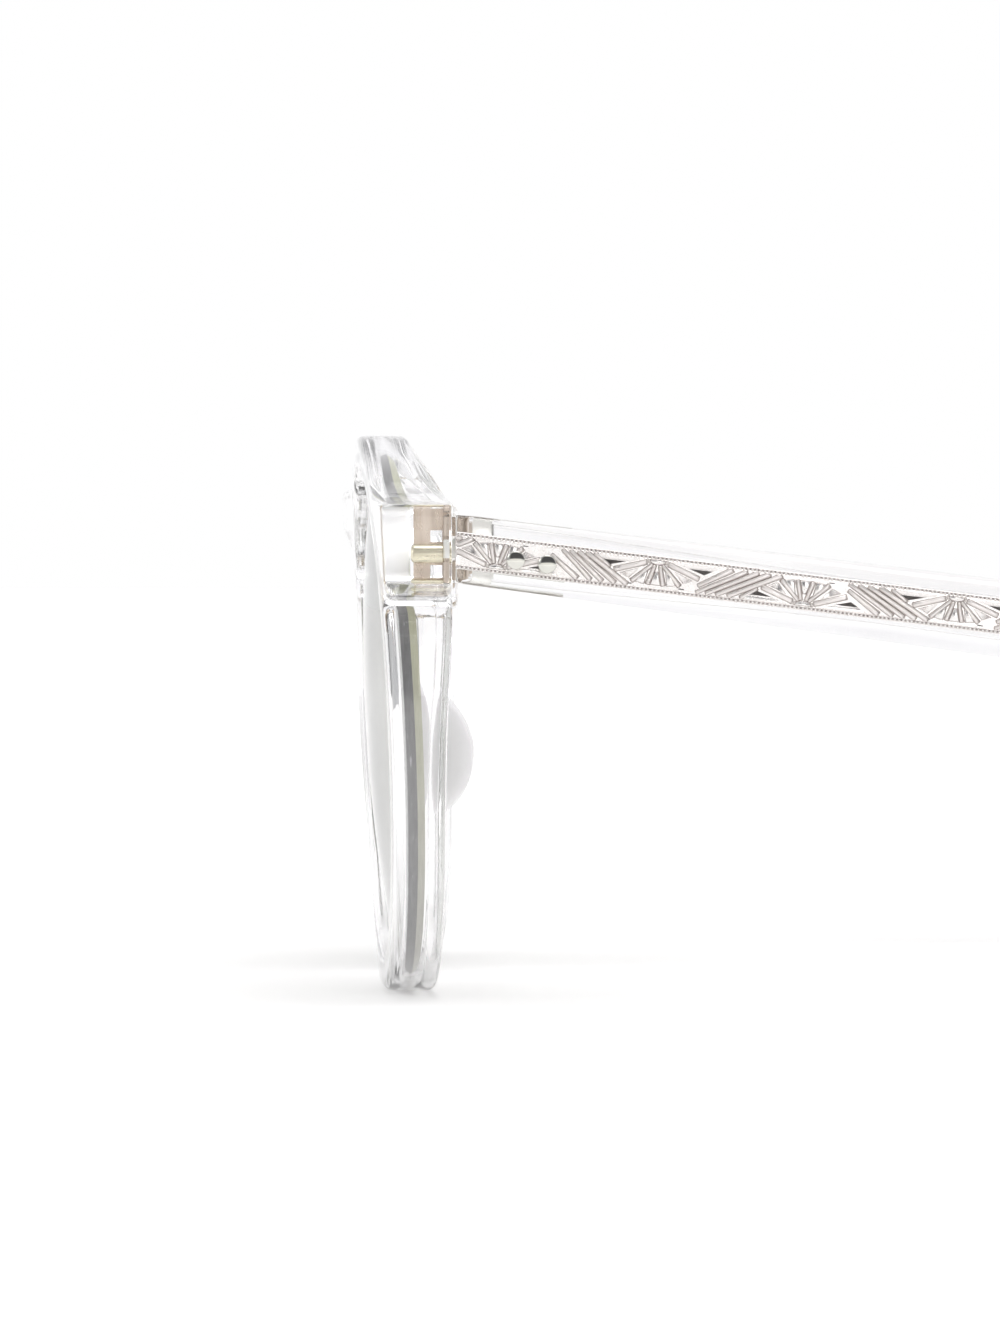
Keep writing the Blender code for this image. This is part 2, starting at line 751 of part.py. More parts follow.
# ---------------------------------------------------------------- assembly
frame = front_frame()
pivots = {}
for side, word in ((1, "left"), (-1, "right")):
    pivot = bpy.data.objects.new(f"temple_{word}_pivot", None)
    pivot.location = Vector((side * AXIS_X, AXIS_Y + ORIGIN_Y, (BARREL_LOW + BARREL_TOP) / 2)) * MM
    PARTS.objects.link(pivot)
    pivots[word] = pivot

    lens(f"lens_{word}", side)
    nose_pad(f"nose_pad_{word}", side)

    # the pocket for the hinge's leaf, heel and knuckles, and the bores for the two rivets
    for k, (low, high) in enumerate(
        (
            ((56.85, PLATE_Y0 - GAP, 36.55), (66.05, 9.0, 42.2)),
            ((60.1, 1.6, 36.6), (61.45, 6.0, 42.5)),
            ((63.05, 4.0, 36.38), (66.0, 8.0, 42.45)),
        )
    ):
        cut(frame, box(f"pocket_{word}{k}", low, high, None, CUTTERS, side=side))
    for k, x in enumerate(FRONT_RIVET_X):
        cut(
            frame,
            rod(
                f"rivet_bore_{word}{k}",
                (x, 1.35, FRONT_RIVET_Z),
                (0, 1, 0),
                FRONT_RIVET_R + GAP,
                6.0,
                None,
                CUTTERS,
                side,
                16,
            ),
        )
        r, back = FRONT_RIVET_R, 5.15
        turned(
            f"front_rivet_{word}_{('inner', 'outer')[k]}",
            [
                (0.0, back),
                (r - 0.12, back),
                (r, back - 0.12),
                (r, 1.75),
                (r - 0.2, 1.65),
                (0.0, 1.65),
            ],
            (x, 0.0, FRONT_RIVET_Z),
            (0, 1, 0),
            BRASS,
            side,
            16,
        )

    front_hinge(f"front_hinge_{word}", side)
    screw(f"hinge_screw_{word}", side)

    arm = temple(f"temple_{word}", side)
    core = wire_core(f"wire_core_{word}", side)
    leaf = temple_hinge(f"temple_hinge_{word}", side)
    moving = [arm, core, leaf]
    inner = END_X - 4.0 - GAP - 0.75
    for k, (y, z) in enumerate(rivet_places()):
        outside = table(OUTSIDE_X, RIVETS[k])
        for target in (arm, core):
            cut(
                target,
                rod(
                    f"{target.name}_rivet_hole{k}",
                    (60.0, y, z),
                    (1, 0, 0),
                    RIVET_R + GAP,
                    14.0,
                    None,
                    CUTTERS,
                    side,
                    16,
                ),
            )
        moving.append(
            turned(
                f"temple_rivet_{word}_{('front', 'rear')[k]}",
                [
                    (0.0, outside + 0.12),
                    (0.45 * RIVET_R, outside + 0.09),
                    (RIVET_R, outside - 0.06),
                    (RIVET_R, inner),
                    (0.0, inner),
                ],
                (0.0, y, z),
                (1, 0, 0),
                POLISH,
                side,
                16,
            )
        )
    for ob in moving:
        on_pivot(ob, pivot)
    # the cutters of the moving pieces turn with them
    for ob in list(CUTTERS.objects):
        if ob.parent is None and (
            ob.name.startswith((arm.name, core.name, leaf.name))
        ):
            on_pivot(ob, pivot)
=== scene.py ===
"""Looks of the round clear-acetate sunglasses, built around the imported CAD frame.

Lengths inside the builders are in millimetres of the part's own datum; to_world() turns them into the frame's metres.
"""

import math

import bmesh
import bpy
from mathutils import Matrix, Vector
from mathutils.geometry import delaunay_2d_cdt


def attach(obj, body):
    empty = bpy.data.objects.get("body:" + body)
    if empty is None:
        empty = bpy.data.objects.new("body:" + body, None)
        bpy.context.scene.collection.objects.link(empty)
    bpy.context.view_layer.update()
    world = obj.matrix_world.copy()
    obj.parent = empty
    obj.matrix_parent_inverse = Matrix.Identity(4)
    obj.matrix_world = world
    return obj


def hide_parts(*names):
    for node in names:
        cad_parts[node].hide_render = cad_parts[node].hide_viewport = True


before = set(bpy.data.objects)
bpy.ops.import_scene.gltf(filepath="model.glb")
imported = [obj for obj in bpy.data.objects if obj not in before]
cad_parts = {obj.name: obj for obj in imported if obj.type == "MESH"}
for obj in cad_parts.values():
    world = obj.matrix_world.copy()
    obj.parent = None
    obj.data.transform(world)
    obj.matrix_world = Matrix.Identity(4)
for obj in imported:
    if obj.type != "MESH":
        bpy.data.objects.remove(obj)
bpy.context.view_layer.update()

MM = 0.001

# ---------------------------------------------------------------- the part's own dimensions, in millimetres
ORIGIN_Y = -70.51

LENS_CX, LENS_CZ = 33.4, 24.7
OPEN_A, OPEN_B, OPEN_N = 23.4, 22.0, 2.12
RIM_A, RIM_B, RIM_N = 26.8, 24.8, 2.1
FRONT_T = 4.6
EDGE_R = 0.75
INNER_R = 0.45
BOW_R, BOW_X = 560.0, 60.5
TILT = 0.049
DATUM_X, DATUM_Z = 62.0, 25.0
BRIDGE_TOP, BRIDGE_LOW = 44.8, 40.5
BRIDGE_BULGE = 1.0
END_X = 70.0
END_LOW, END_TOP = 36.3, 43.15
END_NECK_X, END_NECK_Z = 60.6, 35.05
END_ROUND_X, END_ROUND_Y = 66.5, 0.2
END_REAR = 5.2

GROOVE_DEPTH = 1.3
GROOVE_Y0, GROOVE_Y1 = 1.15, 3.35
LENS_T = 1.5
LENS_Y = 1.5
LENS_BULGE = 1.7
LENS_REACH = 1.0

AXIS_X, AXIS_Y = 64.55, 5.5
BARREL_R, PIN_R = 1.15, 0.52
BARREL_LOW, BARREL_TOP = 36.65, 42.05
KNUCKLE_GAP = 0.3

TEMPLE_Y = 5.5
TEMPLE_L = 149.0
TEMPLE_Z = 39.38
TEMPLE_SLOPE = 7.3
EAR_START, EAR_END, EAR_ANGLE = 92.0, 120.0, 35.39
OUTSIDE_X = ((0, 70.0), (30, 70.7), (70, 71.0), (100, 70.2), (125, 67.8), (149, 64.2))
THICKNESS = ((0, 4.0), (60, 3.9), (100, 3.6), (149, 3.0))
HALF_HEIGHT = ((0, 2.93), (47, 3.33), (85, 3.65), (118, 3.95), (149, 3.9))

CORE_L = 124.0
CORE_HALF = ((0, 1.60), (50, 1.56), (85, 1.38), (110, 1.1), (124, 0.8))
CORE_OFFSET = ((0, -0.12), (47, 0.18), (100, 0.1), (124, 0.0))

RIVETS = (5.2, 7.9)
RIVET_R = 0.75
FRONT_RIVET_X = (58.8, 62.3)
FRONT_RIVET_Z = 38.95
FRONT_RIVET_R = 0.8


def to_world(x, y, z):
    return Vector((x, y + ORIGIN_Y, z)) * MM


# ---------------------------------------------------------------- materials
def new_material(name):
    m = bpy.data.materials.new(name)
    m.use_nodes = True
    tree = m.node_tree
    tree.nodes.clear()
    out = tree.nodes.new("ShaderNodeOutputMaterial")
    b = tree.nodes.new("ShaderNodeBsdfPrincipled")
    tree.links.new(b.outputs["BSDF"], out.inputs["Surface"])
    return m, tree, b


def noise_of(tree, scale, detail=3.0, roughness=0.55, stretch=(1, 1, 1), distortion=0.0):
    coord = tree.nodes.new("ShaderNodeTexCoord")
    mapping = tree.nodes.new("ShaderNodeMapping")
    mapping.inputs["Scale"].default_value = stretch
    tree.links.new(coord.outputs["Object"], mapping.inputs["Vector"])
    n = tree.nodes.new("ShaderNodeTexNoise")
    n.inputs["Scale"].default_value = scale
    n.inputs["Detail"].default_value = detail
    n.inputs["Roughness"].default_value = roughness
    n.inputs["Distortion"].default_value = distortion
    tree.links.new(mapping.outputs["Vector"], n.inputs["Vector"])
    return n.outputs["Fac"]


def ramp_of(tree, source, low, high, at=(0.3, 0.7)):
    """Colours (or greys) spread over a noise value."""
    r = tree.nodes.new("ShaderNodeValToRGB")
    r.color_ramp.elements[0].position, r.color_ramp.elements[1].position = at
    r.color_ramp.elements[0].color = (*low, 1.0)
    r.color_ramp.elements[1].color = (*high, 1.0)
    tree.links.new(source, r.inputs["Fac"])
    return r.outputs["Color"]


def range_of(tree, source, low, high, at=(0.3, 0.7)):
    r = tree.nodes.new("ShaderNodeMapRange")
    r.inputs["From Min"].default_value, r.inputs["From Max"].default_value = at
    r.inputs["To Min"].default_value, r.inputs["To Max"].default_value = low, high
    tree.links.new(source, r.inputs["Value"])
    return r.outputs["Result"]


def bump_of(tree, bsdf, height, strength, distance):
    b = tree.nodes.new("ShaderNodeBump")
    b.inputs["Strength"].default_value = strength
    b.inputs["Distance"].default_value = distance
    tree.links.new(height, b.inputs["Height"])
    tree.links.new(b.outputs["Normal"], bsdf.inputs["Normal"])


def clear_acetate(name, run, low=(0.94, 0.934, 0.945), high=(0.988, 0.988, 0.988), satin=False):
    """Water-clear acetate with a hand-polished skin: soft ripples, faint buffing haze and pale streaks that follow the sheet's run. satin leaves the front part of each end piece's outer side less polished, and the bridge a little."""
    m, t, b = new_material(name)
    b.inputs["Transmission Weight"].default_value = 1.0
    b.inputs["IOR"].default_value = 1.48
    tone = noise_of(t, 620.0, 2.0, 0.5, run)
    t.links.new(ramp_of(t, tone, low, high, (0.32, 0.62)), b.inputs["Base Color"])
    haze = range_of(t, noise_of(t, 900.0, 4.0), 0.0, 0.035)
    if satin:
        coord = t.nodes.new("ShaderNodeTexCoord")
        split = t.nodes.new("ShaderNodeSeparateXYZ")
        t.links.new(coord.outputs["Object"], split.inputs["Vector"])

        def math_of(kind, a, b):
            n = t.nodes.new("ShaderNodeMath")
            n.operation = kind
            for socket, value in zip(n.inputs, (a, b)):
                if isinstance(value, float):
                    socket.default_value = value
                else:
                    t.links.new(value, socket)
            return n.outputs[0]

        outer = range_of(t, math_of("ABSOLUTE", split.outputs["X"], 0.0), 0.0, 1.0, ((END_X - 0.5) * MM, (END_X - 0.1) * MM))
        ahead = range_of(t, split.outputs["Y"], 1.0, 0.0, ((1.3 + ORIGIN_Y) * MM, (1.75 + ORIGIN_Y) * MM))
        haze = math_of("MAXIMUM", haze, math_of("MULTIPLY", math_of("MULTIPLY", outer, ahead), 0.5))
        middle = range_of(t, math_of("ABSOLUTE", split.outputs["X"], 0.0), 1.0, 0.0, (17.0 * MM, 21.0 * MM))
        high = range_of(t, split.outputs["Z"], 0.0, 1.0, (29.0 * MM, 33.0 * MM))
        haze = math_of("MAXIMUM", haze, math_of("MULTIPLY", math_of("MULTIPLY", middle, high), 0.11))
    t.links.new(haze, b.inputs["Roughness"])
    bump_of(t, b, noise_of(t, 160.0, 1.0), 0.05, 0.00005)
    return m


def smoke_lens():
    """Grey-green sun lens, a little deeper at the top."""
    m, t, b = new_material("smoke_lens_tint")
    b.inputs["Transmission Weight"].default_value = 1.0
    b.inputs["IOR"].default_value = 1.5
    coord = t.nodes.new("ShaderNodeTexCoord")
    split = t.nodes.new("ShaderNodeSeparateXYZ")
    t.links.new(coord.outputs["Object"], split.inputs["Vector"])
    shade = ramp_of(
        t, range_of(t, split.outputs["Z"], 0.0, 1.0, (0.003, 0.046)), (0.62, 0.635, 0.605), (0.46, 0.47, 0.445), (0.0, 1.0)
    )
    t.links.new(shade, b.inputs["Base Color"])
    t.links.new(range_of(t, noise_of(t, 700.0, 3.0), 0.0, 0.02), b.inputs["Roughness"])
    bump_of(t, b, noise_of(t, 60.0, 1.0), 0.05, 0.00004)
    return m


def mixed(t, factor, a, b):
    """Colour a where factor is 0 and b where it is 1."""
    mix = t.nodes.new("ShaderNodeMix")
    mix.data_type = "RGBA"
    t.links.new(factor, mix.inputs["Factor"])
    t.links.new(a, mix.inputs["A"])
    t.links.new(b, mix.inputs["B"])
    return mix.outputs["Result"]


def ground_edge(name, low, high, foot_low, foot_high, glint):
    """The lens's ground edge: fine grinding lines that run round it, small bright specks painted in as glints, and
    another tone at the foot.
    """
    m, t, b = new_material(name)
    b.inputs["Roughness"].default_value = 0.55
    b.inputs["Specular IOR Level"].default_value = 0.5
    grit = noise_of(t, 1500.0, 5.0, 0.7, (0.4, 3.0, 0.4))
    coord = t.nodes.new("ShaderNodeTexCoord")
    split = t.nodes.new("ShaderNodeSeparateXYZ")
    t.links.new(coord.outputs["Object"], split.inputs["Vector"])
    height = range_of(t, split.outputs["Z"], 0.0, 1.0, (0.008, 0.034))
    tone = mixed(
        t, height, ramp_of(t, grit, foot_low, foot_high, (0.25, 0.75)), ramp_of(t, grit, low, high, (0.25, 0.75))
    )
    # painted glints: bright specks in the edge's colour stand in for small reflections
    glints = range_of(t, noise_of(t, 2100.0, 3.0, 0.6, (1.0, 1.6, 0.22)), 0.0, glint, (0.66, 0.74))
    bright = ramp_of(t, grit, (0.55, 0.54, 0.56), (0.78, 0.76, 0.80))
    t.links.new(mixed(t, glints, tone, bright), b.inputs["Base Color"])
    bump_of(t, b, grit, 0.35, 0.00003)
    return m


def pad_acetate():
    """Milky lilac-grey pad, soft to the light."""
    m, t, b = new_material("milky_pad_acetate")
    b.inputs["IOR"].default_value = 1.47
    b.inputs["Subsurface Weight"].default_value = 0.6
    b.inputs["Subsurface Scale"].default_value = 0.003
    b.inputs["Subsurface Radius"].default_value = (1.0, 1.0, 1.0)
    b.inputs["Coat Weight"].default_value = 0.4
    b.inputs["Coat Roughness"].default_value = 0.08
    t.links.new(
        ramp_of(t, noise_of(t, 300.0, 3.0), (0.93, 0.895, 0.922), (0.97, 0.942, 0.962)), b.inputs["Base Color"]
    )
    t.links.new(range_of(t, noise_of(t, 1200.0, 3.0), 0.12, 0.24), b.inputs["Roughness"])
    return m


def metal(name, low, high, rough, scale=900.0, stretch=(1, 1, 1), bump=0.12, depth=0.00002, metallic=1.0, cloud=(260.0, 3.0, 0.55, (1, 1, 1))):
    m, t, b = new_material(name)
    b.inputs["Metallic"].default_value = metallic
    grain = noise_of(t, scale, 4.0, 0.6, stretch)
    t.links.new(ramp_of(t, noise_of(t, *cloud), low, high), b.inputs["Base Color"])
    t.links.new(range_of(t, grain, rough[0], rough[1]), b.inputs["Roughness"])
    bump_of(t, b, grain, bump, depth)
    return m


ACETATE = clear_acetate("crystal_acetate", (1.0, 1.0, 0.07), satin=True)
TEMPLE_ACETATE = clear_acetate("crystal_acetate_temple", (1.0, 0.05, 1.0), (0.915, 0.91, 0.918), (0.962, 0.962, 0.962))
LENS = smoke_lens()
EDGE_DARK = ground_edge("ground_edge_dark", (0.18, 0.18, 0.18), (0.30, 0.30, 0.30), (0.26, 0.26, 0.26), (0.40, 0.40, 0.40), 0.8)
EDGE_OLIVE = ground_edge("ground_edge_olive", (0.54, 0.55, 0.38), (0.70, 0.71, 0.535), (0.54, 0.54, 0.48), (0.68, 0.675, 0.62), 0.3)
PAD = pad_acetate()
SILVER = metal("struck_nickel_silver", (0.92, 0.885, 0.865), (0.97, 0.945, 0.93), (0.18, 0.32), 1600.0, (1, 1, 1), 0.15, 0.00001)
SATIN = metal("brushed_bar_silver", (0.85, 0.805, 0.78), (0.93, 0.885, 0.865), (0.26, 0.40), 1600.0, (1, 1, 1), 0.18, 0.00001)
# patina and painted shade: the dark line at the foot of every raised bar and flat is oxide in the real relief and also
# stands in for the shade that falls there
PATINA_AND_SHADE = metal("line_patina_and_painted_shade", (0.24, 0.20, 0.185), (0.40, 0.345, 0.32), (0.35, 0.6), 1800.0, (1, 1, 1), 0.4, 0.00002, 0.85)
# painted shade: near-black flats laid on the ground where a deep recess would lie in shadow; the relief has no such
# recess
RECESS_SHADE = metal("recess_painted_shade", (0.055, 0.047, 0.045), (0.10, 0.088, 0.083), (0.45, 0.65), 1800.0, (1, 1, 1), 0.4, 0.00002, 0.85)
HINGE = metal(
    "hinge_nickel_silver", (0.47, 0.385, 0.315), (0.70, 0.61, 0.525), (0.22, 0.38), 1500.0, (1, 1, 0.25), 0.2, 0.00001,
    cloud=(950.0, 2.0, 0.5, (1, 1, 0.12)),
)
HINGE_GREY = metal("temple_hinge_nickel", (0.76, 0.76, 0.725), (0.88, 0.875, 0.84), (0.25, 0.40), 1500.0, (1, 0.25, 1), 0.2, 0.00001)
POLISH = metal("polished_rivet_steel", (0.86, 0.85, 0.83), (0.92, 0.91, 0.89), (0.03, 0.07), 500.0, (1, 1, 1), 0.03, 0.00001)
RIVET = metal("domed_rivet_steel", (0.66, 0.655, 0.605), (0.76, 0.755, 0.705), (0.05, 0.10), 500.0, (1, 1, 1), 0.03, 0.00001)
BRASS = metal("gold_brass", (0.80, 0.745, 0.565), (0.90, 0.85, 0.685), (0.22, 0.34), 1300.0, (1, 0.2, 1), 0.12, 0.00001)


# ---------------------------------------------------------------- making pieces
def add_piece(name, mesh, mats, body, nodes):
    ob = bpy.data.objects.new(name, mesh)
    bpy.context.scene.collection.objects.link(ob)
    for m in mats:
        mesh.materials.append(m)
    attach(ob, body)
    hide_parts(*nodes)
    return ob


def to_mesh(bm, name, sharp=35.0, recalc=True):
    if recalc:
        bmesh.ops.recalc_face_normals(bm, faces=bm.faces)
    mesh = bpy.data.meshes.new(name)
    bm.to_mesh(mesh)
    bm.free()
    mesh.shade_smooth()
    mesh.set_sharp_from_angle(angle=math.radians(sharp))
    return mesh


def mirrored(bm):
    """Over to the wearer's right."""
    bmesh.ops.scale(bm, vec=(-1, 1, 1), verts=bm.verts)
    bmesh.ops.reverse_faces(bm, faces=bm.faces)


def smooth(t):
    t = min(max(t, 0.0), 1.0)
    return t * t * (3 - 2 * t)


def table(knots, s):
    """A smooth value read from (s, value) knots."""
    if s <= knots[0][0]:
        return knots[0][1]
    if s >= knots[-1][0]:
        return knots[-1][1]
    for i in range(len(knots) - 1):
        (s0, v0), (s1, v1) = knots[i], knots[i + 1]
        if s <= s1:
            before = knots[max(i - 1, 0)]
            after = knots[min(i + 2, len(knots) - 1)]
            m0 = (v1 - before[1]) / (s1 - before[0])
            m1 = (after[1] - v0) / (after[0] - s0)
            h = s1 - s0
            t = (s - s0) / h
            return (
                (2 * t**3 - 3 * t**2 + 1) * v0
                + (t**3 - 2 * t**2 + t) * h * m0
                + (-2 * t**3 + 3 * t**2) * v1
                + (t**3 - t**2) * h * m1
            )
    return knots[-1][1]


# ---------------------------------------------------------------- outline of the front
def curve_points(p0, t0, p1, t1, n):
    a, b, c, d = Vector(p0), Vector(p0) + Vector(t0), Vector(p1) - Vector(t1), Vector(p1)
    out = []
    for i in range(n):
        t = i / n
        u = 1 - t
        out.append(u**3 * a + 3 * u * u * t * b + 3 * u * t * t * c + t**3 * d)
    return out


def oval(a, b, n, degrees):
    th = math.radians(degrees)
    c, s = math.cos(th), math.sin(th)
    r = (abs(c / a) ** n + abs(s / b) ** n) ** (-1.0 / n)
    return Vector((LENS_CX + r * c, LENS_CZ + r * s))


def oval_tangent(a, b, n, degrees):
    return (oval(a, b, n, degrees + 0.5) - oval(a, b, n, degrees - 0.5)).normalized()


def rim_arc(start, stop, n):
    return [oval(RIM_A, RIM_B, RIM_N, start + (stop - start) * i / n) for i in range(n)]


def spaced(points, step):
    lengths = [0.0]
    for p, q in zip(points, points[1:]):
        lengths.append(lengths[-1] + (q - p).length)
    n = max(2, round(lengths[-1] / step))
    out, j = [], 0
    for i in range(n + 1):
        want = lengths[-1] * i / n
        while j < len(points) - 2 and lengths[j + 1] < want:
            j += 1
        span = lengths[j + 1] - lengths[j]
        out.append(points[j].lerp(points[j + 1], (want - lengths[j]) / span if span else 0.0))
    return out


def half_outline(step):
    """The outside of the front for x >= 0, from the bridge's underside round the rim and the end piece to the bridge's top."""
    nasal, temporal, top_out, top_in = 157.0, 379.5, 415.0, 474.0
    rim = lambda d: oval(RIM_A, RIM_B, RIM_N, d)
    tan = lambda d: oval_tangent(RIM_A, RIM_B, RIM_N, d)
    points = curve_points((0, BRIDGE_LOW), (4.6, 0), rim(nasal), tan(nasal) * 4.0, 90)
    points += rim_arc(nasal, temporal, 700)
    r = 0.8
    neck, corner = Vector((END_NECK_X, END_NECK_Z)), Vector((END_X - r, END_LOW))
    points += curve_points(rim(temporal), tan(temporal) * 0.95, neck, (corner - neck).normalized() * 0.95, 40)
    points += [neck.lerp(corner, i / 20) for i in range(20)]
    points += [
        Vector((END_X - r + r * math.sin(a), END_LOW + r - r * math.cos(a)))
        for a in (math.pi / 2 * i / 16 for i in range(16))
    ]
    points += [Vector((END_X, END_LOW + r + (END_TOP - END_LOW - 2 * r) * i / 20)) for i in range(20)]
    points += [
        Vector((END_X - r + r * math.cos(a), END_TOP - r + r * math.sin(a)))
        for a in (math.pi / 2 * i / 16 for i in range(16))
    ]
    points += curve_points((END_X - r, END_TOP), (-7.0, 0), rim(top_out), tan(top_out) * 4.6, 90)
    points += rim_arc(top_out, top_in, 220)
    points += curve_points(rim(top_in), tan(top_in) * 7.0, (0, BRIDGE_TOP), (-7.0, 0), 90)
    points.append(Vector((0, BRIDGE_TOP)))
    points = spaced(points, step)
    for p in points:
        p.y = max(p.y, 0.0)
    return points


def moved(points, distance, closed):
    """The outline moved to its left by distance, each point along its own normal."""
    n, out = len(points), []
    for i, p in enumerate(points):
        if closed:
            before, after = points[i - 1], points[(i + 1) % n]
        else:
            before, after = points[max(i - 1, 0)], points[min(i + 1, n - 1)]
        t = (after - before).normalized()
        normal = Vector((-t.y, t.x))
        if not closed and i in (0, n - 1):
            normal = Vector((0.0, 1.0 if i == 0 else -1.0))
        out.append(p + normal * distance)
    return out


def front_plane(x, z):
    x = min(abs(x), BOW_X)
    return (x * x - DATUM_X * DATUM_X) / (2 * BOW_R) - TILT * (z - DATUM_Z)


def front_surface(x, z):
    bulge = max(0.0, 1 - (x / 11.5) ** 2)
    over = min(max((abs(x) - END_ROUND_X) / (END_X - END_ROUND_X + 0.1), 0.0), 1.0)
    turn = END_ROUND_Y * (1 - math.sqrt(1 - over * over))
    return front_plane(x, z) - BRIDGE_BULGE * bulge * bulge + turn


def rear_surface(x, z):
    base = front_surface(min(abs(x), END_ROUND_X), z) + FRONT_T
    k = smooth((abs(x) - 40.0) / 19.0) * smooth((z - 14.0) / 20.0)
    return base * (1 - k) + END_REAR * k


def through(x, z, depth):
    if depth <= FRONT_T / 2:
        return front_surface(x, z) + depth
    return rear_surface(x, z) - (FRONT_T - depth)


def inside(p, loop):
    odd = False
    for a, b in zip(loop, loop[1:] + loop[:1]):
        if (a.y > p.y) != (b.y > p.y) and p.x < a.x + (p.y - a.y) * (b.x - a.x) / (b.y - a.y):
            odd = not odd
    return odd


def round_over(r, steps):
    """(inset, depth) pairs of a quarter round, from the face to the side."""
    return [
        (r * (1 - math.sin(a)), r * (1 - math.cos(a)))
        for a in (math.pi / 2 * i / steps for i in range(steps + 1))
    ]


def fine_front():
    """The acetate front with polished, rolled edges and a fine lens groove."""
    outline = half_outline(0.42)
    hole = [oval(OPEN_A, OPEN_B, OPEN_N, 360.0 * i / 320) for i in range(320)]
    bm = bmesh.new()

    def ring(points, depth):
        return [bm.verts.new(to_world(p.x, through(p.x, p.y, depth), p.y)) for p in points]

    def skin(rings, closed):
        for a, b in zip(rings, rings[1:]):
            n = len(a)
            for i in range(n if closed else n - 1):
                j = (i + 1) % n
                bm.faces.new((a[i], a[j], b[j], b[i]))

    t = FRONT_T
    outer = [(EDGE_R + 0.08, 0.0)] + round_over(EDGE_R, 7)
    outer += [(0.0, 1.6), (0.0, 3.2)] + [(i, t - d) for i, d in reversed(outer)]
    near = [(-(INNER_R + 0.08), 0.0)] + [(-i, d) for i, d in round_over(INNER_R, 5)]
    g0, g1, g = GROOVE_Y0, GROOVE_Y1, GROOVE_DEPTH
    groove = [(0, g0 - 0.12), (-0.03, g0 - 0.03), (-0.12, g0), (-g + 0.14, g0 + 0.09), (-g + 0.03, g0 + 0.13), (-g, g0 + 0.24)]
    inner = near + groove
    inner += [(i, g1 + g0 - d) for i, d in reversed(groove)] + [(i, t - d) for i, d in reversed(near)]
    crisp = [1.0 - 0.6 * smooth((p.x - 66.0) / 3.0) for p in outline]  # the end piece's outer side has crisper edges
    turned_edges = []
    for inset, depth in outer:
        shifted = moved(outline, inset, False)
        row = []
        for p, q, g in zip(outline, shifted, crisp):
            c = p + (q - p) * g
            d = depth * g if depth <= EDGE_R else (t - (t - depth) * g if t - depth <= EDGE_R else depth)
            row.append(bm.verts.new(to_world(c.x, through(c.x, c.y, d), c.y)))
        turned_edges.append(row)
    outer = turned_edges
    inner = [ring(moved(hole, inset, True), depth) for inset, depth in inner]
    skin(outer, False)
    skin(inner, True)
    for k, depth in ((0, 0.0), (-1, t)):
        rim_loop = [Vector((v.co.x / MM, v.co.z / MM)) for v in outer[k]]
        hole_loop = [Vector((v.co.x / MM, v.co.z / MM)) for v in inner[k]]
        n, m = len(rim_loop), len(hole_loop)
        flat = rim_loop + hole_loop
        known = list(outer[k]) + list(inner[k])
        # points inside the sheet, where its face bends; closer together on the bridge, which bends more
        for step, x_to, z_from, clear in ((0.5, 13.0, 36.0, 0.06), (1.3, 72.0, 0.0, 0.36)):
            for i in range(1, int(x_to / step)):
                for j in range(1 + int(z_from / (step * 0.9)), int(52 / (step * 0.9))):
                    p = Vector((i * step + (0.5 * step if j % 2 else 0.0), j * step * 0.9))
                    if not inside(p, rim_loop) or inside(p, hole_loop):
                        continue
                    if min((p - q).length_squared for q in flat[:: 2]) < clear:
                        continue
                    flat.append(p)
                    known.append(None)
        edges = [(i, (i + 1) % n) for i in range(n)] + [(n + i, n + (i + 1) % m) for i in range(m)]
        coords, _, faces, originals, *_ = delaunay_2d_cdt(flat, edges, [], 4, 1e-6)
        found = {}
        for i, sources in enumerate(originals):
            if sources and known[sources[0]] is not None:
                found[i] = known[sources[0]]
            else:
                c = coords[i]
                found[i] = bm.verts.new(to_world(c.x, through(c.x, c.y, depth), c.y))
        for f in faces:
            middle = sum((coords[i] for i in f), Vector((0.0, 0.0))) / 3
            if not inside(middle, hole_loop):
                bm.faces.new([found[i] for i in f])
    bmesh.ops.delete(bm, geom=[v for v in bm.verts if not v.link_faces], context="VERTS")
    # the other half
    copy = bmesh.ops.duplicate(bm, geom=bm.verts[:] + bm.edges[:] + bm.faces[:])["geom"]
    bmesh.ops.scale(bm, vec=(-1, 1, 1), verts=[v for v in copy if isinstance(v, bmesh.types.BMVert)])
    middle = [v for v in bm.verts if abs(v.co.x) < 1e-6]
    bmesh.ops.remove_doubles(bm, verts=middle, dist=1e-7)
    return to_mesh(bm, "acetate_front", 40.0)


add_piece("acetate_front", fine_front(), [ACETATE], "front", ["front_frame"])


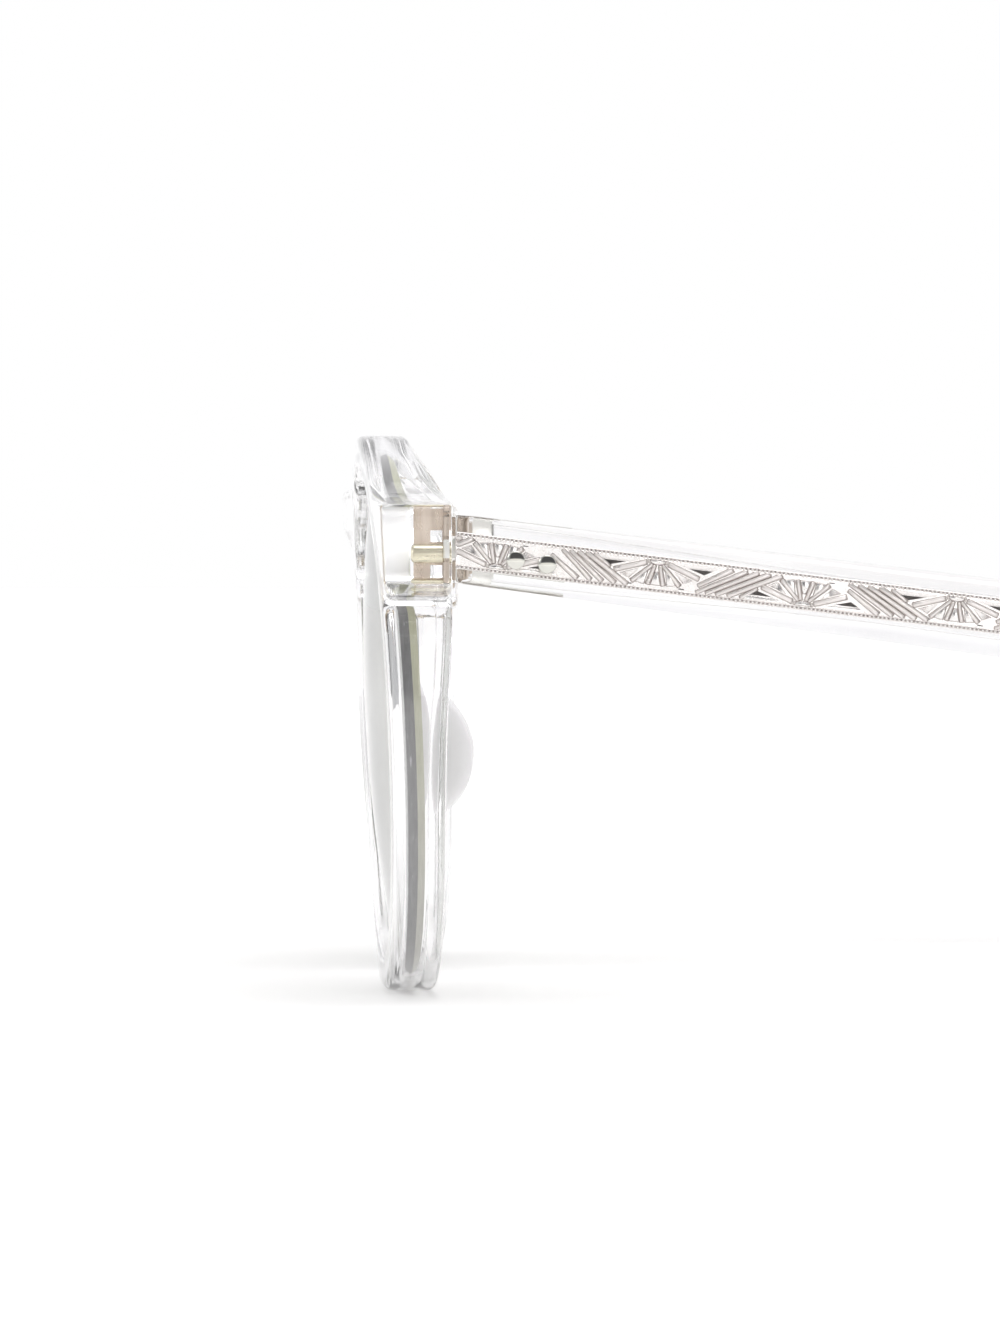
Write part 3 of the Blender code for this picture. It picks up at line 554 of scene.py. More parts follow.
# ---------------------------------------------------------------- lenses
def fine_lens(side):
    """A curved lens with a ground, bevelled edge. Slot 0 is the polished lens, slot 1 the front facet of its edge and slot 2 the rear one."""
    count = 288
    base = [oval(OPEN_A, OPEN_B, OPEN_N, 360.0 * i / count) for i in range(count)]
    centre = Vector((LENS_CX, LENS_CZ))
    bm = bmesh.new()

    def row(inset, depth, share=None):
        """A loop at inset from the lens's outermost line, or at a share of the way from the centre."""
        out = []
        for p in moved(base, inset - LENS_REACH, True):
            q = p if share is None else centre.lerp(p, share)
            sag = 0.0 if share is None else LENS_BULGE * (1 - share * share)
            out.append(bm.verts.new(to_world(q.x, front_plane(q.x, q.y) + depth - sag, q.y)))
        return out

    shares = [1.0, 0.985, 0.95, 0.88, 0.78, 0.66, 0.53, 0.4, 0.27, 0.14]
    front_rows = [row(0.30, LENS_Y, s) for s in shares]
    rear_rows = [row(0.22, LENS_Y + LENS_T, s) for s in shares]
    apex = row(0.0, LENS_Y + 0.82)
    mid_a, mid_b = row(0.02, LENS_Y + 0.74), row(0.02, LENS_Y + 0.90)

    def strip(a, b, slot):
        for i in range(count):
            j = (i + 1) % count
            f = bm.faces.new((a[i], a[j], b[j], b[i]))
            f.material_index = slot

    for rows, depth in ((front_rows, LENS_Y), (rear_rows, LENS_Y + LENS_T)):
        for a, b in zip(rows, rows[1:]):
            strip(a, b, 0)
        tip = bm.verts.new(to_world(centre.x, front_plane(*centre) + depth - LENS_BULGE, centre.y))
        for i in range(count):
            bm.faces.new((rows[-1][i], rows[-1][(i + 1) % count], tip))
    strip(front_rows[0], mid_a, 1)
    strip(mid_a, apex, 1)
    strip(apex, mid_b, 2)
    strip(mid_b, rear_rows[0], 2)
    if side < 0:
        mirrored(bm)
    return to_mesh(bm, "lens", 30.0)


# ---------------------------------------------------------------- nose pads
def fine_pad(side):
    """A soft lobe behind the nasal side of the rim, bedded on the rim's back."""
    bm = bmesh.new()
    bmesh.ops.create_uvsphere(bm, u_segments=64, v_segments=48, radius=1.0)
    for v in bm.verts:  # a fuller heel and a leaner toe than an ellipsoid
        v.co.x *= 1.0 + 0.18 * v.co.z * -1
        v.co.y *= 1.0 + 0.06 * math.cos(v.co.z * 2.2)
    bmesh.ops.scale(bm, vec=(1.38, 4.75, 6.0), verts=bm.verts)
    bmesh.ops.rotate(bm, cent=(0, 0, 0), matrix=Matrix.Rotation(math.radians(9), 3, "Y"), verts=bm.verts)
    bmesh.ops.rotate(bm, cent=(0, 0, 0), matrix=Matrix.Rotation(math.radians(-24), 3, "Z"), verts=bm.verts)
    bmesh.ops.translate(bm, vec=(8.5, 2.2, 20.6), verts=bm.verts)
    x, z = 8.5, 20.6
    bed = rear_surface(x, z) + 0.02
    normal = Vector((-x / BOW_R, 1.0, TILT)).normalized()
    cutp = bmesh.ops.bisect_plane(
        bm,
        geom=bm.verts[:] + bm.edges[:] + bm.faces[:],
        dist=1e-6,
        plane_co=(x, bed, z),
        plane_no=normal,
        clear_inner=True,
    )
    rim = [e for e in cutp["geom_cut"] if isinstance(e, bmesh.types.BMEdge)]
    bmesh.ops.contextual_create(bm, geom=rim)
    for v in bm.verts:
        v.co = to_world(*v.co)
    if side < 0:
        mirrored(bm)
    return to_mesh(bm, "pad", 50.0)


# ---------------------------------------------------------------- temples
def slope_at(s):
    return math.radians(
        TEMPLE_SLOPE + (EAR_ANGLE - TEMPLE_SLOPE) * smooth((s - EAR_START) / (EAR_END - EAR_START))
    )


SPINE_STEP = 0.1
SPINE = [(TEMPLE_Y, TEMPLE_Z)]
for _i in range(int(TEMPLE_L / SPINE_STEP) + 2):
    _a = slope_at((_i + 0.5) * SPINE_STEP)
    _y, _z = SPINE[-1]
    SPINE.append((_y + SPINE_STEP * math.cos(_a), _z - SPINE_STEP * math.sin(_a)))


def spine(s):
    """(y, z) of the temple's middle at arc length s behind the butt."""
    k = max(0.0, s) / SPINE_STEP
    i = min(int(k), len(SPINE) - 2)
    f = k - i
    return (
        SPINE[i][0] + (SPINE[i + 1][0] - SPINE[i][0]) * f,
        SPINE[i][1] + (SPINE[i + 1][1] - SPINE[i][1]) * f,
    )


def middle_x(s):
    return table(OUTSIDE_X, s) - table(THICKNESS, s) / 2


def section(s, x_mid, half_t, half_h, corner, count, crown=0.0):
    """Points of a rounded rectangle across the temple; crown makes its two long faces stand out a little in the middle."""
    y, z = spine(s)
    a = 0.0 if s < 0.01 else slope_at(s)
    up = Vector((0.0, math.sin(a), math.cos(a)))
    c = min(corner, half_t * 0.98, half_h * 0.98)
    points, per, face = [], count // 8, count // 8
    for k, (sx, sz) in enumerate(((1, 1), (-1, 1), (-1, -1), (1, -1))):
        for i in range(per):
            t = math.pi / 2 * (k + i / (per - 1))
            points.append((sx * (half_t - c) + c * math.cos(t), sz * (half_h - c) + c * math.sin(t)))
        # along the flat to the next corner
        nx, nz = ((-1, 1), (-1, -1), (1, -1), (1, 1))[k]
        end_t = math.pi / 2 * (k + 1)
        p = points[-1]
        q = (nx * (half_t - c) + c * math.cos(end_t), nz * (half_h - c) + c * math.sin(end_t))
        for f in (0.006, 0.03, 0.12, 0.35, 0.65, 0.88, 0.97, 0.994)[:face]:  # close to the corners, so that the flat stays flat
            points.append((p[0] + (q[0] - p[0]) * f, p[1] + (q[1] - p[1]) * f))
    out = []
    for dx, dz in points:
        dx += (1 if dx > 0 else -1) * crown * (max(0.0, 1 - (dz / half_h) ** 2)) * (abs(dx) / half_t)
        out.append(Vector((x_mid + dx, y, z)) + up * dz)
    return out


def fine_temple(side):
    """The clear acetate temple, with rolled edges and a rounded tip."""
    count = 64
    stops = [0.0, 0.06, 0.14, 0.25, 0.4, 0.6]
    stops += [1.0 + i for i in range(137)]
    stops += [TEMPLE_L - 11.0 * (1 - math.sin(math.pi / 2 * i / 24)) for i in range(1, 25)]
    stops = sorted({round(min(s, TEMPLE_L - 0.02), 3) for s in stops})
    bm = bmesh.new()
    rows = []
    for s in stops:
        left = TEMPLE_L - s
        half_h = table(HALF_HEIGHT, s)
        lift = 1.0
        if left < 11.0:
            lift = math.sqrt(max(0.0004, 1 - ((11.0 - left) / 11.0) ** 2.4))
        half_t = table(THICKNESS, s) / 2
        half_t *= math.sqrt(max(0.01, 1 - (max(0.0, 4.0 - left) / 4.0) ** 2.2))
        corner = 0.5 + 1.0 * smooth(s / 40.0)
        ease = 0.25 * (1 - math.sqrt(max(0.0, 1 - (1 - min(s, 0.25) / 0.25) ** 2)))  # a quarter round at the butt
        points = section(s, middle_x(s), half_t - ease, half_h * lift - ease, corner, count)
        if s < 0.7:  # the butt is square to the front, the temple behind it slopes
            points = [Vector((p.x, TEMPLE_Y + s, p.z)) for p in points]
        rows.append([bm.verts.new(to_world(*p)) for p in points])
    n = len(rows[0])
    for a, b in zip(rows, rows[1:]):
        for i in range(n):
            j = (i + 1) % n
            bm.faces.new((a[i], a[j], b[j], b[i]))
    # end faces: a support ring and a fill, so that the flat stays flat
    for row in (rows[0], rows[-1]):
        middle = sum((v.co for v in row), Vector()) / n
        inner = [bm.verts.new(v.co.lerp(middle, 0.06)) for v in row]
        for i in range(n):
            j = (i + 1) % n
            bm.faces.new((row[i], row[j], inner[j], inner[i]))
        tip = bm.verts.new(middle)
        for i in range(n):
            bm.faces.new((inner[i], inner[(i + 1) % n], tip))
    if side < 0:
        mirrored(bm)
    return to_mesh(bm, "temple", 50.0)


# ---------------------------------------------------------------- engraved wire core
def core_point(s, v, d):
    """A point on the core: s along it, v across it and d out from its middle plane."""
    y, z = spine(s)
    a = slope_at(s)
    v = v * table(CORE_HALF, s) / 1.6 + table(CORE_OFFSET, s)
    y += math.sin(a) * v
    z += math.cos(a) * v
    return to_world(middle_x(s) + d, max(y, TEMPLE_Y), z)


MOAT, GROUND, FLAT_TOP, RAIL_TOP, BAR_TOP = 0.452, 0.46, 0.52, 0.54, 0.60  # half thickness at each level of the relief


def sheet_of(bm, outline, d, face, slot):
    """A thin flat lying on the ground, such as the line of patina and painted shade round a raised figure."""
    ring = [bm.verts.new(core_point(p[0], p[1], d * face)) for p in outline]
    foot = [bm.verts.new(core_point(p[0], p[1], (MOAT - 0.03) * face)) for p in outline]
    n = len(ring)
    for i in range(n):
        j = (i + 1) % n
        bm.faces.new((foot[i], foot[j], ring[j], ring[i])).material_index = slot
    bm.faces.new(ring).material_index = slot
    bm.faces.new(list(reversed(foot))).material_index = slot


def grown(outline, by):
    """A convex outline moved outwards, corner by corner."""
    n = len(outline)
    middle = sum((Vector(p) for p in outline), Vector((0.0, 0.0))) / n
    out = []
    for i in range(n):
        p, a, b = Vector(outline[i]), Vector(outline[i - 1]), Vector(outline[(i + 1) % n])
        na, nb = Vector(((p - a).y, -(p - a).x)).normalized(), Vector(((b - p).y, -(b - p).x)).normalized()
        if na.dot(p - middle) < 0:
            na = -na
        if nb.dot(p - middle) < 0:
            nb = -nb
        mitre = na + nb
        out.append(p + mitre * (by / max(0.35, mitre.length_squared / 2)))
    return out


def plate(bm, outline, low, high, face, slot, chamfer=0.045, line=0.0, sink=None):
    """A raised flat of any convex outline in (s, v), with a small chamfer, and a line of patina and painted shade round
    its foot. sink tilts its top: the height at each corner.
    """
    n = len(outline)
    # painted shade with patina: a dark line round the flat's foot
    if line:
        sheet_of(bm, grown(outline, line), GROUND + 0.006, face, 1)
    inner = grown(outline, -chamfer)
    tops = sink or [high] * n
    rings = []
    for pts, ds in ((outline, [low] * n), (outline, [t - chamfer * 0.7 for t in tops]), (inner, tops)):
        rings.append([bm.verts.new(core_point(p[0], p[1], d * face)) for p, d in zip(pts, ds)])
    for a, b in zip(rings, rings[1:]):
        for i in range(n):
            j = (i + 1) % n
            bm.faces.new((a[i], a[j], b[j], b[i])).material_index = slot
    bm.faces.new(rings[-1]).material_index = slot
    bm.faces.new(list(reversed(rings[0]))).material_index = slot


def bar(bm, start, stop, width, face, low=GROUND - 0.04, high=BAR_TOP, slot=2, stop_width=None, line=0.045):
    """A rounded bar from start to stop in (s, v), with eased ends, standing in a narrow line of patina and painted
    shade.
    """
    p, q = Vector(start), Vector(stop)
    along = q - p
    length = along.length
    if length < 0.12:
        return
    along /= length
    across = Vector((-along.y, along.x))
    stop_width = stop_width or width
    ends = min(0.14, length * 0.2)
    stations = [0.0, ends * 0.35, ends] + [length * f for f in (0.3, 0.5, 0.7)] + [length - ends, length - ends * 0.35, length]
    stations = sorted({round(x, 4) for x in stations if 0 <= x <= length + 1e-9})
    shape = (
        (-1.0, 0.0), (-0.97, 0.45), (-0.84, 0.76), (-0.6, 0.92), (-0.3, 0.985), (0.0, 1.0),
        (0.3, 0.985), (0.6, 0.92), (0.84, 0.76), (0.97, 0.45), (1.0, 0.0),
    )
    rings = []
    for at in stations:
        ease = min(at, length - at) / ends
        k = math.sqrt(max(0.06, 1 - (1 - min(ease, 1.0)) ** 2))
        half = (width + (stop_width - width) * at / length) / 2 * (0.6 + 0.4 * k)
        ring = []
        for u, h in shape:
            c = p + along * at + across * (u * half)
            ring.append(bm.verts.new(core_point(c.x, c.y, (low + (high - low) * h * (0.35 + 0.65 * k)) * face)))
        rings.append(ring)
    n = len(shape)
    for a, b in zip(rings, rings[1:]):
        for i in range(n - 1):
            bm.faces.new((a[i], a[i + 1], b[i + 1], b[i])).material_index = slot
        bm.faces.new((a[n - 1], a[0], b[0], b[n - 1])).material_index = slot
    bm.faces.new(rings[0]).material_index = slot
    bm.faces.new(list(reversed(rings[-1]))).material_index = slot
    # painted shade with patina: a dark line round the bar's foot
    if line:
        h0, h1, e = width / 2 + line, stop_width / 2 + line, line
        outline = [
            p - along * e - across * h0 * 0.55, p - across * h0, q - across * h1, q + along * e - across * h1 * 0.55,
            q + along * e + across * h1 * 0.55, q + across * h1, p + across * h0, p - along * e + across * h0 * 0.55,
        ]
        sheet_of(bm, outline, GROUND + 0.004, face, 1)


def bead(bm, s, v, r, face, slot=0):
    """A milgrain bead in its channel."""
    rows, steps = [], 10
    for lift in (-0.6, 0.0, 0.5, 0.85):
        c = math.sqrt(1 - lift * lift)
        rows.append(
            [
                bm.verts.new(
                    core_point(
                        s + r * c * math.cos(math.tau * i / steps),
                        v + r * c * math.sin(math.tau * i / steps),
                        (GROUND - 0.005 + r * 0.75 * lift) * face,
                    )
                )
                for i in range(steps)
            ]
        )
    for a, b in zip(rows, rows[1:]):
        for i in range(steps):
            j = (i + 1) % steps
            bm.faces.new((a[i], a[j], b[j], b[i])).material_index = slot
    bm.faces.new(rows[-1]).material_index = slot
    bm.faces.new(list(reversed(rows[0]))).material_index = slot


def strip_bar(bm, v0, v1, low, high, face, s0, s1, slot=0, step=1.0):
    """A long rail between two heights, all along the core."""
    stops = [s0 + (s1 - s0) * i / max(1, round((s1 - s0) / step)) for i in range(max(1, round((s1 - s0) / step)) + 1)]
    e = 0.03
    shape = ((v0, low), (v0, high - e), (v0 + e, high), (v1 - e, high), (v1, high - e), (v1, low))
    rings = [[bm.verts.new(core_point(s, v, d * face)) for v, d in shape] for s in stops]
    n = len(shape)
    for a, b in zip(rings, rings[1:]):
        for i in range(n):
            j = (i + 1) % n
            bm.faces.new((a[i], a[j], b[j], b[i])).material_index = slot
    bm.faces.new(rings[0]).material_index = slot
    bm.faces.new(list(reversed(rings[-1]))).material_index = slot


FIELD = 1.20  # half height of the figured field
FANS = [-9.4, 3.66, 17.33, 30.05, 43.03]
while FANS[-1] < CORE_L + 8:
    FANS.append(FANS[-1] + 12.9)


def frieze(bm, face):
    """A running frieze between beaded borders: fans that stand and hang in turn, joined by bands of slanting reeds."""
    end = CORE_L - 1.0
    top = 2 * FIELD
    for k in (-1, 1):  # borders: a rail, a row of beads with dark joints, a rail
        for v0, v1, high in ((1.215, 1.275, RAIL_TOP), (1.50, 1.545, RAIL_TOP - 0.03)):
            a, b = sorted((k * v0, k * v1))
            strip_bar(bm, a, b, GROUND - 0.04, high, face, 0.0, end)
        s = 0.22
        while s < end - 0.3:
            bead(bm, s, k * 1.388, 0.14, face)
            # the dark joint between two beads
            m = s + 0.18
            sheet_of(
                bm, [(m - 0.05, k * 1.30), (m + 0.05, k * 1.30), (m + 0.03, k * 1.47), (m - 0.03, k * 1.47)], GROUND + 0.008, face, 1
            )
            s += 0.36

    for k, at in enumerate(FANS[:-1]):
        flip = k % 2 == 0
        gap = FANS[k + 1] - at
        if at - 7.0 > end:
            break

        def put(points):
            """Local (u, w), w up from the fan's foot, to (s, v); a hanging fan is turned over."""
            return [(at + u, (FIELD - w) if flip else (w - FIELD)) for u, w in points]

        def add_bar(a, b, width, high=BAR_TOP, stop_width=None, line=0.045):
            (s0, v0), (s1, v1) = put([a, b])
            w0, w1 = width, stop_width or width
            if s0 > s1:
                (s0, v0), (s1, v1), w0, w1 = (s1, v1), (s0, v0), w1, w0
            if s1 < 0.2 or s0 > end - 0.2:
                return
            if s0 < 0.12:
                f = (0.12 - s0) / (s1 - s0)
                s0, v0 = 0.12, v0 + (v1 - v0) * f
            if s1 > end - 0.12:
                f = (end - 0.12 - s0) / (s1 - s0)
                s1, v1 = end - 0.12, v0 + (v1 - v0) * f
            bar(bm, (s0, v0), (s1, v1), w0, face, high=high, stop_width=w1, line=line)

        def fits(points):
            return all(0.08 < s < end - 0.1 and abs(v) <= FIELD + 0.02 for s, v in points)

        def add_plate(points, high=FLAT_TOP, line=0.04, sink=None, chamfer=0.045):
            p = put(points)
            if fits(p):
                plate(bm, p, GROUND - 0.04, high, face, 0, chamfer, line, sink)

        # painted shade: a near-black sheet just above the ground
        def add_painted_shade(points):
            p = put(points)
            if fits(p):
                sheet_of(bm, p, GROUND + 0.012, face, 3)

        # the hub: an arch with a sunk middle
        arch = [(0.66 * math.cos(math.pi * i / 10), 0.02 + 0.36 * math.sin(math.pi * i / 10) ** 0.7) for i in range(11)]
        add_plate(arch, FLAT_TOP + 0.01, 0.05)
        for side in (-1, 1):
            add_bar((0.80 * side, 0.03), (0.70 * side, 0.30), 0.17, BAR_TOP - 0.02, line=0.03)
        # four ribs
        for u, w, foot in ((0.68, 2.13, 0.22), (2.08, 2.02, 0.42)):
            for side in (-1, 1):
                add_bar((foot * side, 0.46 if u < 1 else 0.40), (u * side, w), 0.27, BAR_TOP, 0.38, 0.055)
        # tongues between the ribs, light where they end
        for points in (
            [(-0.13, 1.05), (0.13, 1.05), (0.42, 2.12), (-0.42, 2.12)],
            [(0.78, 0.95), (0.98, 0.92), (1.72, 2.0), (0.98, 2.12)],
            [(-0.98, 0.92), (-0.78, 0.95), (-0.98, 2.12), (-1.72, 2.0)],
        ):
            add_plate(points, FLAT_TOP + 0.02, 0.05)
        for side in (-1, 1):
            # wings: broad low bars, each with a fine ridge along its upper edge
            add_bar((0.92 * side, 0.26), (3.66 * side, 1.20), 0.40, BAR_TOP - 0.03, 0.42, 0.045)
            # between wing and outer rib: a flat, and a triangle of painted shade
            add_plate([(side * 1.55, 0.83), (side * 3.1, 1.42), (side * 2.35, 1.75)], FLAT_TOP, 0.03)
            add_painted_shade([(side * 1.95, 1.13), (side * 2.62, 1.38), (side * 2.2, 1.46)])
            # the long light flat under each wing, and a near-black triangle of painted shade at its corner
            add_plate([(side * 1.35, 0.05), (side * 5.4, 0.05), (side * 4.75, 0.40), (side * 2.7, 0.40)], FLAT_TOP + 0.03, 0.0)
            add_painted_shade([(side * 2.7, 0.42), (side * 4.75, 0.42), (side * 4.05, 0.82)])
            # small nicks against the rail, painted as near-black shade on the flat ground
            add_painted_shade([(side * 2.0, 2.28), (side * 2.52, 2.28), (side * 2.5, 2.2), (side * 2.05, 2.18)])
        # reeds on to the next fan; they close up where the gap is wide
        wide = min(1.0, max(0.0, (gap - 12.9) / 0.77))
        for (a0, b0), (a1, b1), w0, w1 in (
            ((3.62, 6.45), (4.55, 7.0), 0.30, 0.42),
            ((3.52, 7.70), (5.45, 8.15), 0.28, 0.32),
            ((4.36, 8.67), (6.12, 9.15), 0.30, 0.33),
            ((5.22, 9.68), (6.80, 10.25), 0.32, 0.35),
            ((6.22, 10.7), (7.50, 11.3), 0.36, 0.34),
        ):
            a, b = a0 + (a1 - a0) * wide, b0 + (b1 - b0) * wide
            add_bar((a, top - (0.62 if a0 > 3.6 and a0 < 4 else 0.05)), (b, 0.05), w0 + 0.02, BAR_TOP, w1 + 0.06, 0.042)
        a, b = 7.32 + 0.9 * wide, 8.72 + 0.95 * wide
        add_bar((a, top - 0.05), (b, top - 0.98), 0.34, BAR_TOP, 0.26, 0.05)


def fine_core(side):
    """The metal blade with its relief on both faces. Slot 0 is the bright metal, slot 1 the dark joints and the lines
    of patina and painted shade, and slot 3 the corners painted near-black as shade.
    """
    bm = bmesh.new()
    count = 24
    stops = [0.0, 0.1] + [0.5 * i for i in range(1, 246)] + [123.0, 123.4, 123.7, 123.9, 124.0]
    stops = sorted(set(stops))
    rows = []
    for s in stops:
        half_h = table(CORE_HALF, s)
        nose = math.sqrt(max(0.02, 1 - (max(0.0, s - 122.6) / 1.45) ** 2))
        t = (GROUND if s < 122.6 else GROUND) * (0.6 + 0.4 * nose)
        row = []
        for i in range(count):
            a = math.tau * (i + 0.5) / count
            c, n = math.cos(a), math.sin(a)
            row.append(
                bm.verts.new(
                    core_point(
                        s,
                        1.6 * nose * math.copysign(abs(n) ** 0.25, n) if abs(n) > 1e-6 else 0.0,
                        t * math.copysign(min(1.0, abs(c) ** 0.35 * 1.05), c),
                    )
                )
            )
        rows.append(row)
    for a, b in zip(rows, rows[1:]):
        for i in range(count):
            j = (i + 1) % count
            bm.faces.new((a[i], a[j], b[j], b[i])).material_index = 0
    bm.faces.new(rows[0]).material_index = 0
    bm.faces.new(list(reversed(rows[-1]))).material_index = 0
    frieze(bm, 1)
    frieze(bm, -1)
    if side < 0:
        mirrored(bm)
    return to_mesh(bm, "core", 42.0)


# ---------------------------------------------------------------- turned pieces
def turned(profile, base, axis, side, steps=48):
    """A turned piece from (radius, height) pairs, top to bottom, along axis."""
    bm = bmesh.new()
    turn = Vector((0, 0, 1)).rotation_difference(Vector(axis)).to_matrix()
    rows = []
    for r, h in profile:
        if r < 1e-6:
            rows.append([bm.verts.new(to_world(*(Vector(base) + turn @ Vector((0, 0, h)))))])
            continue
        rows.append(
            [
                bm.verts.new(
                    to_world(
                        *(
                            Vector(base)
                            + turn @ Vector((r * math.cos(math.tau * i / steps), r * math.sin(math.tau * i / steps), h))
                        )
                    )
                )
                for i in range(steps)
            ]
        )
    for a, b in zip(rows, rows[1:]):
        for i in range(steps):
            j = (i + 1) % steps
            if len(a) == 1:
                bm.faces.new((a[0], b[i], b[j]))
            elif len(b) == 1:
                bm.faces.new((a[i], a[j], b[0]))
            else:
                bm.faces.new((a[i], a[j], b[j], b[i]))
    if side < 0:
        mirrored(bm)
    return to_mesh(bm, "turned", 32.0)


# ---------------------------------------------------------------- hinge halves
def raw_box(low, high, slope=0.0, about=(0, 0, 0)):
    bm = bmesh.new()
    bmesh.ops.create_cube(bm, size=1.0)
    bmesh.ops.scale(bm, vec=[h - l for l, h in zip(low, high)], verts=bm.verts)
    bmesh.ops.translate(bm, vec=[(h + l) / 2 for l, h in zip(low, high)], verts=bm.verts)
    if slope:
        bmesh.ops.rotate(bm, cent=Vector(about), matrix=Matrix.Rotation(math.radians(-slope), 3, "X"), verts=bm.verts)
    return bm


def raw_rod(base, axis, radius, length, sides=48):
    bm = bmesh.new()
    bmesh.ops.create_cone(bm, cap_ends=True, segments=sides, radius1=radius, radius2=radius, depth=length)
    bmesh.ops.translate(bm, vec=(0, 0, length / 2), verts=bm.verts)
    turn = Vector((0, 0, 1)).rotation_difference(Vector(axis)).to_matrix().to_4x4()
    bmesh.ops.transform(bm, matrix=Matrix.Translation(Vector(base)) @ turn, verts=bm.verts)
    return bm


def raw_cone(base, low, high, length, sides=48):
    bm = bmesh.new()
    bmesh.ops.create_cone(bm, cap_ends=True, segments=sides, radius1=low, radius2=high, depth=length)
    bmesh.ops.translate(bm, vec=Vector(base) + Vector((0, 0, length / 2)), verts=bm.verts)
    return bm


def fused(name, solids, holes, side, bevel=0.07):
    """One body from several solids less some holes, with its edges broken."""
    made = []
    for i, bm in enumerate([*solids, *holes]):
        mesh = bpy.data.meshes.new(f"{name}_{i}")
        bm.to_mesh(mesh)
        bm.free()
        ob = bpy.data.objects.new(f"{name}_{i}", mesh)
        bpy.context.scene.collection.objects.link(ob)
        made.append(ob)
    base = made[0]
    for i, ob in enumerate(made[1:], 1):
        b = base.modifiers.new(f"b{i}", "BOOLEAN")
        b.solver = "EXACT"
        b.operation = "UNION" if i < len(solids) else "DIFFERENCE"
        b.object = ob
    if bevel:
        e = base.modifiers.new("edges", "BEVEL")
        e.width = bevel
        e.segments = 3
        e.limit_method = "ANGLE"
        e.angle_limit = math.radians(38)
        e.use_clamp_overlap = True
    bpy.context.view_layer.update()
    mesh = bpy.data.meshes.new_from_object(base.evaluated_get(bpy.context.evaluated_depsgraph_get()))
    mesh.name = name
    for ob in made:
        old = ob.data
        bpy.data.objects.remove(ob)
        bpy.data.meshes.remove(old)
    bm = bmesh.new()
    bm.from_mesh(mesh)
    bpy.data.meshes.remove(mesh)
    for v in bm.verts:
        v.co = to_world(*v.co)
    if side < 0:
        mirrored(bm)
    return to_mesh(bm, name, 32.0)


THIRD = (BARREL_TOP - BARREL_LOW - 2 * KNUCKLE_GAP) / 3


def front_hinge(side):
    solids = [
        raw_box((57.2, 4.45, 36.9), (AXIS_X, 5.26, 41.85)),
        raw_box((60.4, 1.85, 36.5), (61.15, 5.1, 42.4)),
    ]
    for low in (BARREL_LOW, BARREL_TOP - THIRD):
        solids.append(raw_rod((AXIS_X, AXIS_Y, low), (0, 0, 1), BARREL_R, THIRD))
    holes = [
        raw_box((59.8, 3.3, 39.95), (61.8, 4.25, 40.95)),  # keys where the acetate grips the heel
        raw_box((59.8, 3.3, 37.25), (61.8, 4.25, 37.95)),
        raw_rod((AXIS_X, AXIS_Y, 35.0), (0, 0, 1), PIN_R + 0.02, 8.5),
        raw_box((AXIS_X - BARREL_R - 0.12, 3.0, BARREL_LOW + THIRD), (66.5, 8.0, BARREL_TOP - THIRD)),
        raw_cone((AXIS_X, AXIS_Y, BARREL_TOP - 0.34), PIN_R, PIN_R + 0.36, 0.36),
    ]
    return fused("front_hinge", solids, holes, side)


def temple_hinge(side):
    low = BARREL_LOW + THIRD + KNUCKLE_GAP
    y0 = TEMPLE_Y + 2.6
    z0 = spine(2.6)[1] - 0.35
    inner = END_X - 4.0
    solids = [
        raw_box((inner - 1.05, y0, z0 - 1.4), (inner + 0.2, y0 + 7.0, z0 + 0.95), TEMPLE_SLOPE, (0, y0, z0)),
        raw_box((inner - 1.03, AXIS_Y, low + 0.02), (inner - 0.3, y0 + 1.0, low + THIRD - 0.02)),
        raw_box((inner - 1.04, 6.95, 36.4), (inner - 0.02, 8.6, 41.9)),
        raw_rod((AXIS_X, AXIS_Y, low), (0, 0, 1), BARREL_R, THIRD),
    ]
    return fused("temple_hinge", solids, [raw_rod((AXIS_X, AXIS_Y, 35.0), (0, 0, 1), PIN_R + 0.02, 8.5)], side)


def hinge_screw(side):
    """A slotted screw down the knuckles, its countersunk head flush in the top one."""
    top = BARREL_TOP + 0.04
    head = raw_cone((AXIS_X, AXIS_Y, top - 0.36), PIN_R, PIN_R + 0.34, 0.36)
    shank = raw_rod((AXIS_X, AXIS_Y, BARREL_LOW - 0.22), (0, 0, 1), PIN_R, top - BARREL_LOW + 0.1)
    slot = raw_box((AXIS_X - 1.2, AXIS_Y - 0.09, top - 0.17), (AXIS_X + 1.2, AXIS_Y + 0.09, top + 0.4))
    return fused("hinge_screw", [head, shank], [slot], side, 0.03)


def rivet_places():
    return [(y, z - 0.35) for y, z in (spine(s) for s in RIVETS)]


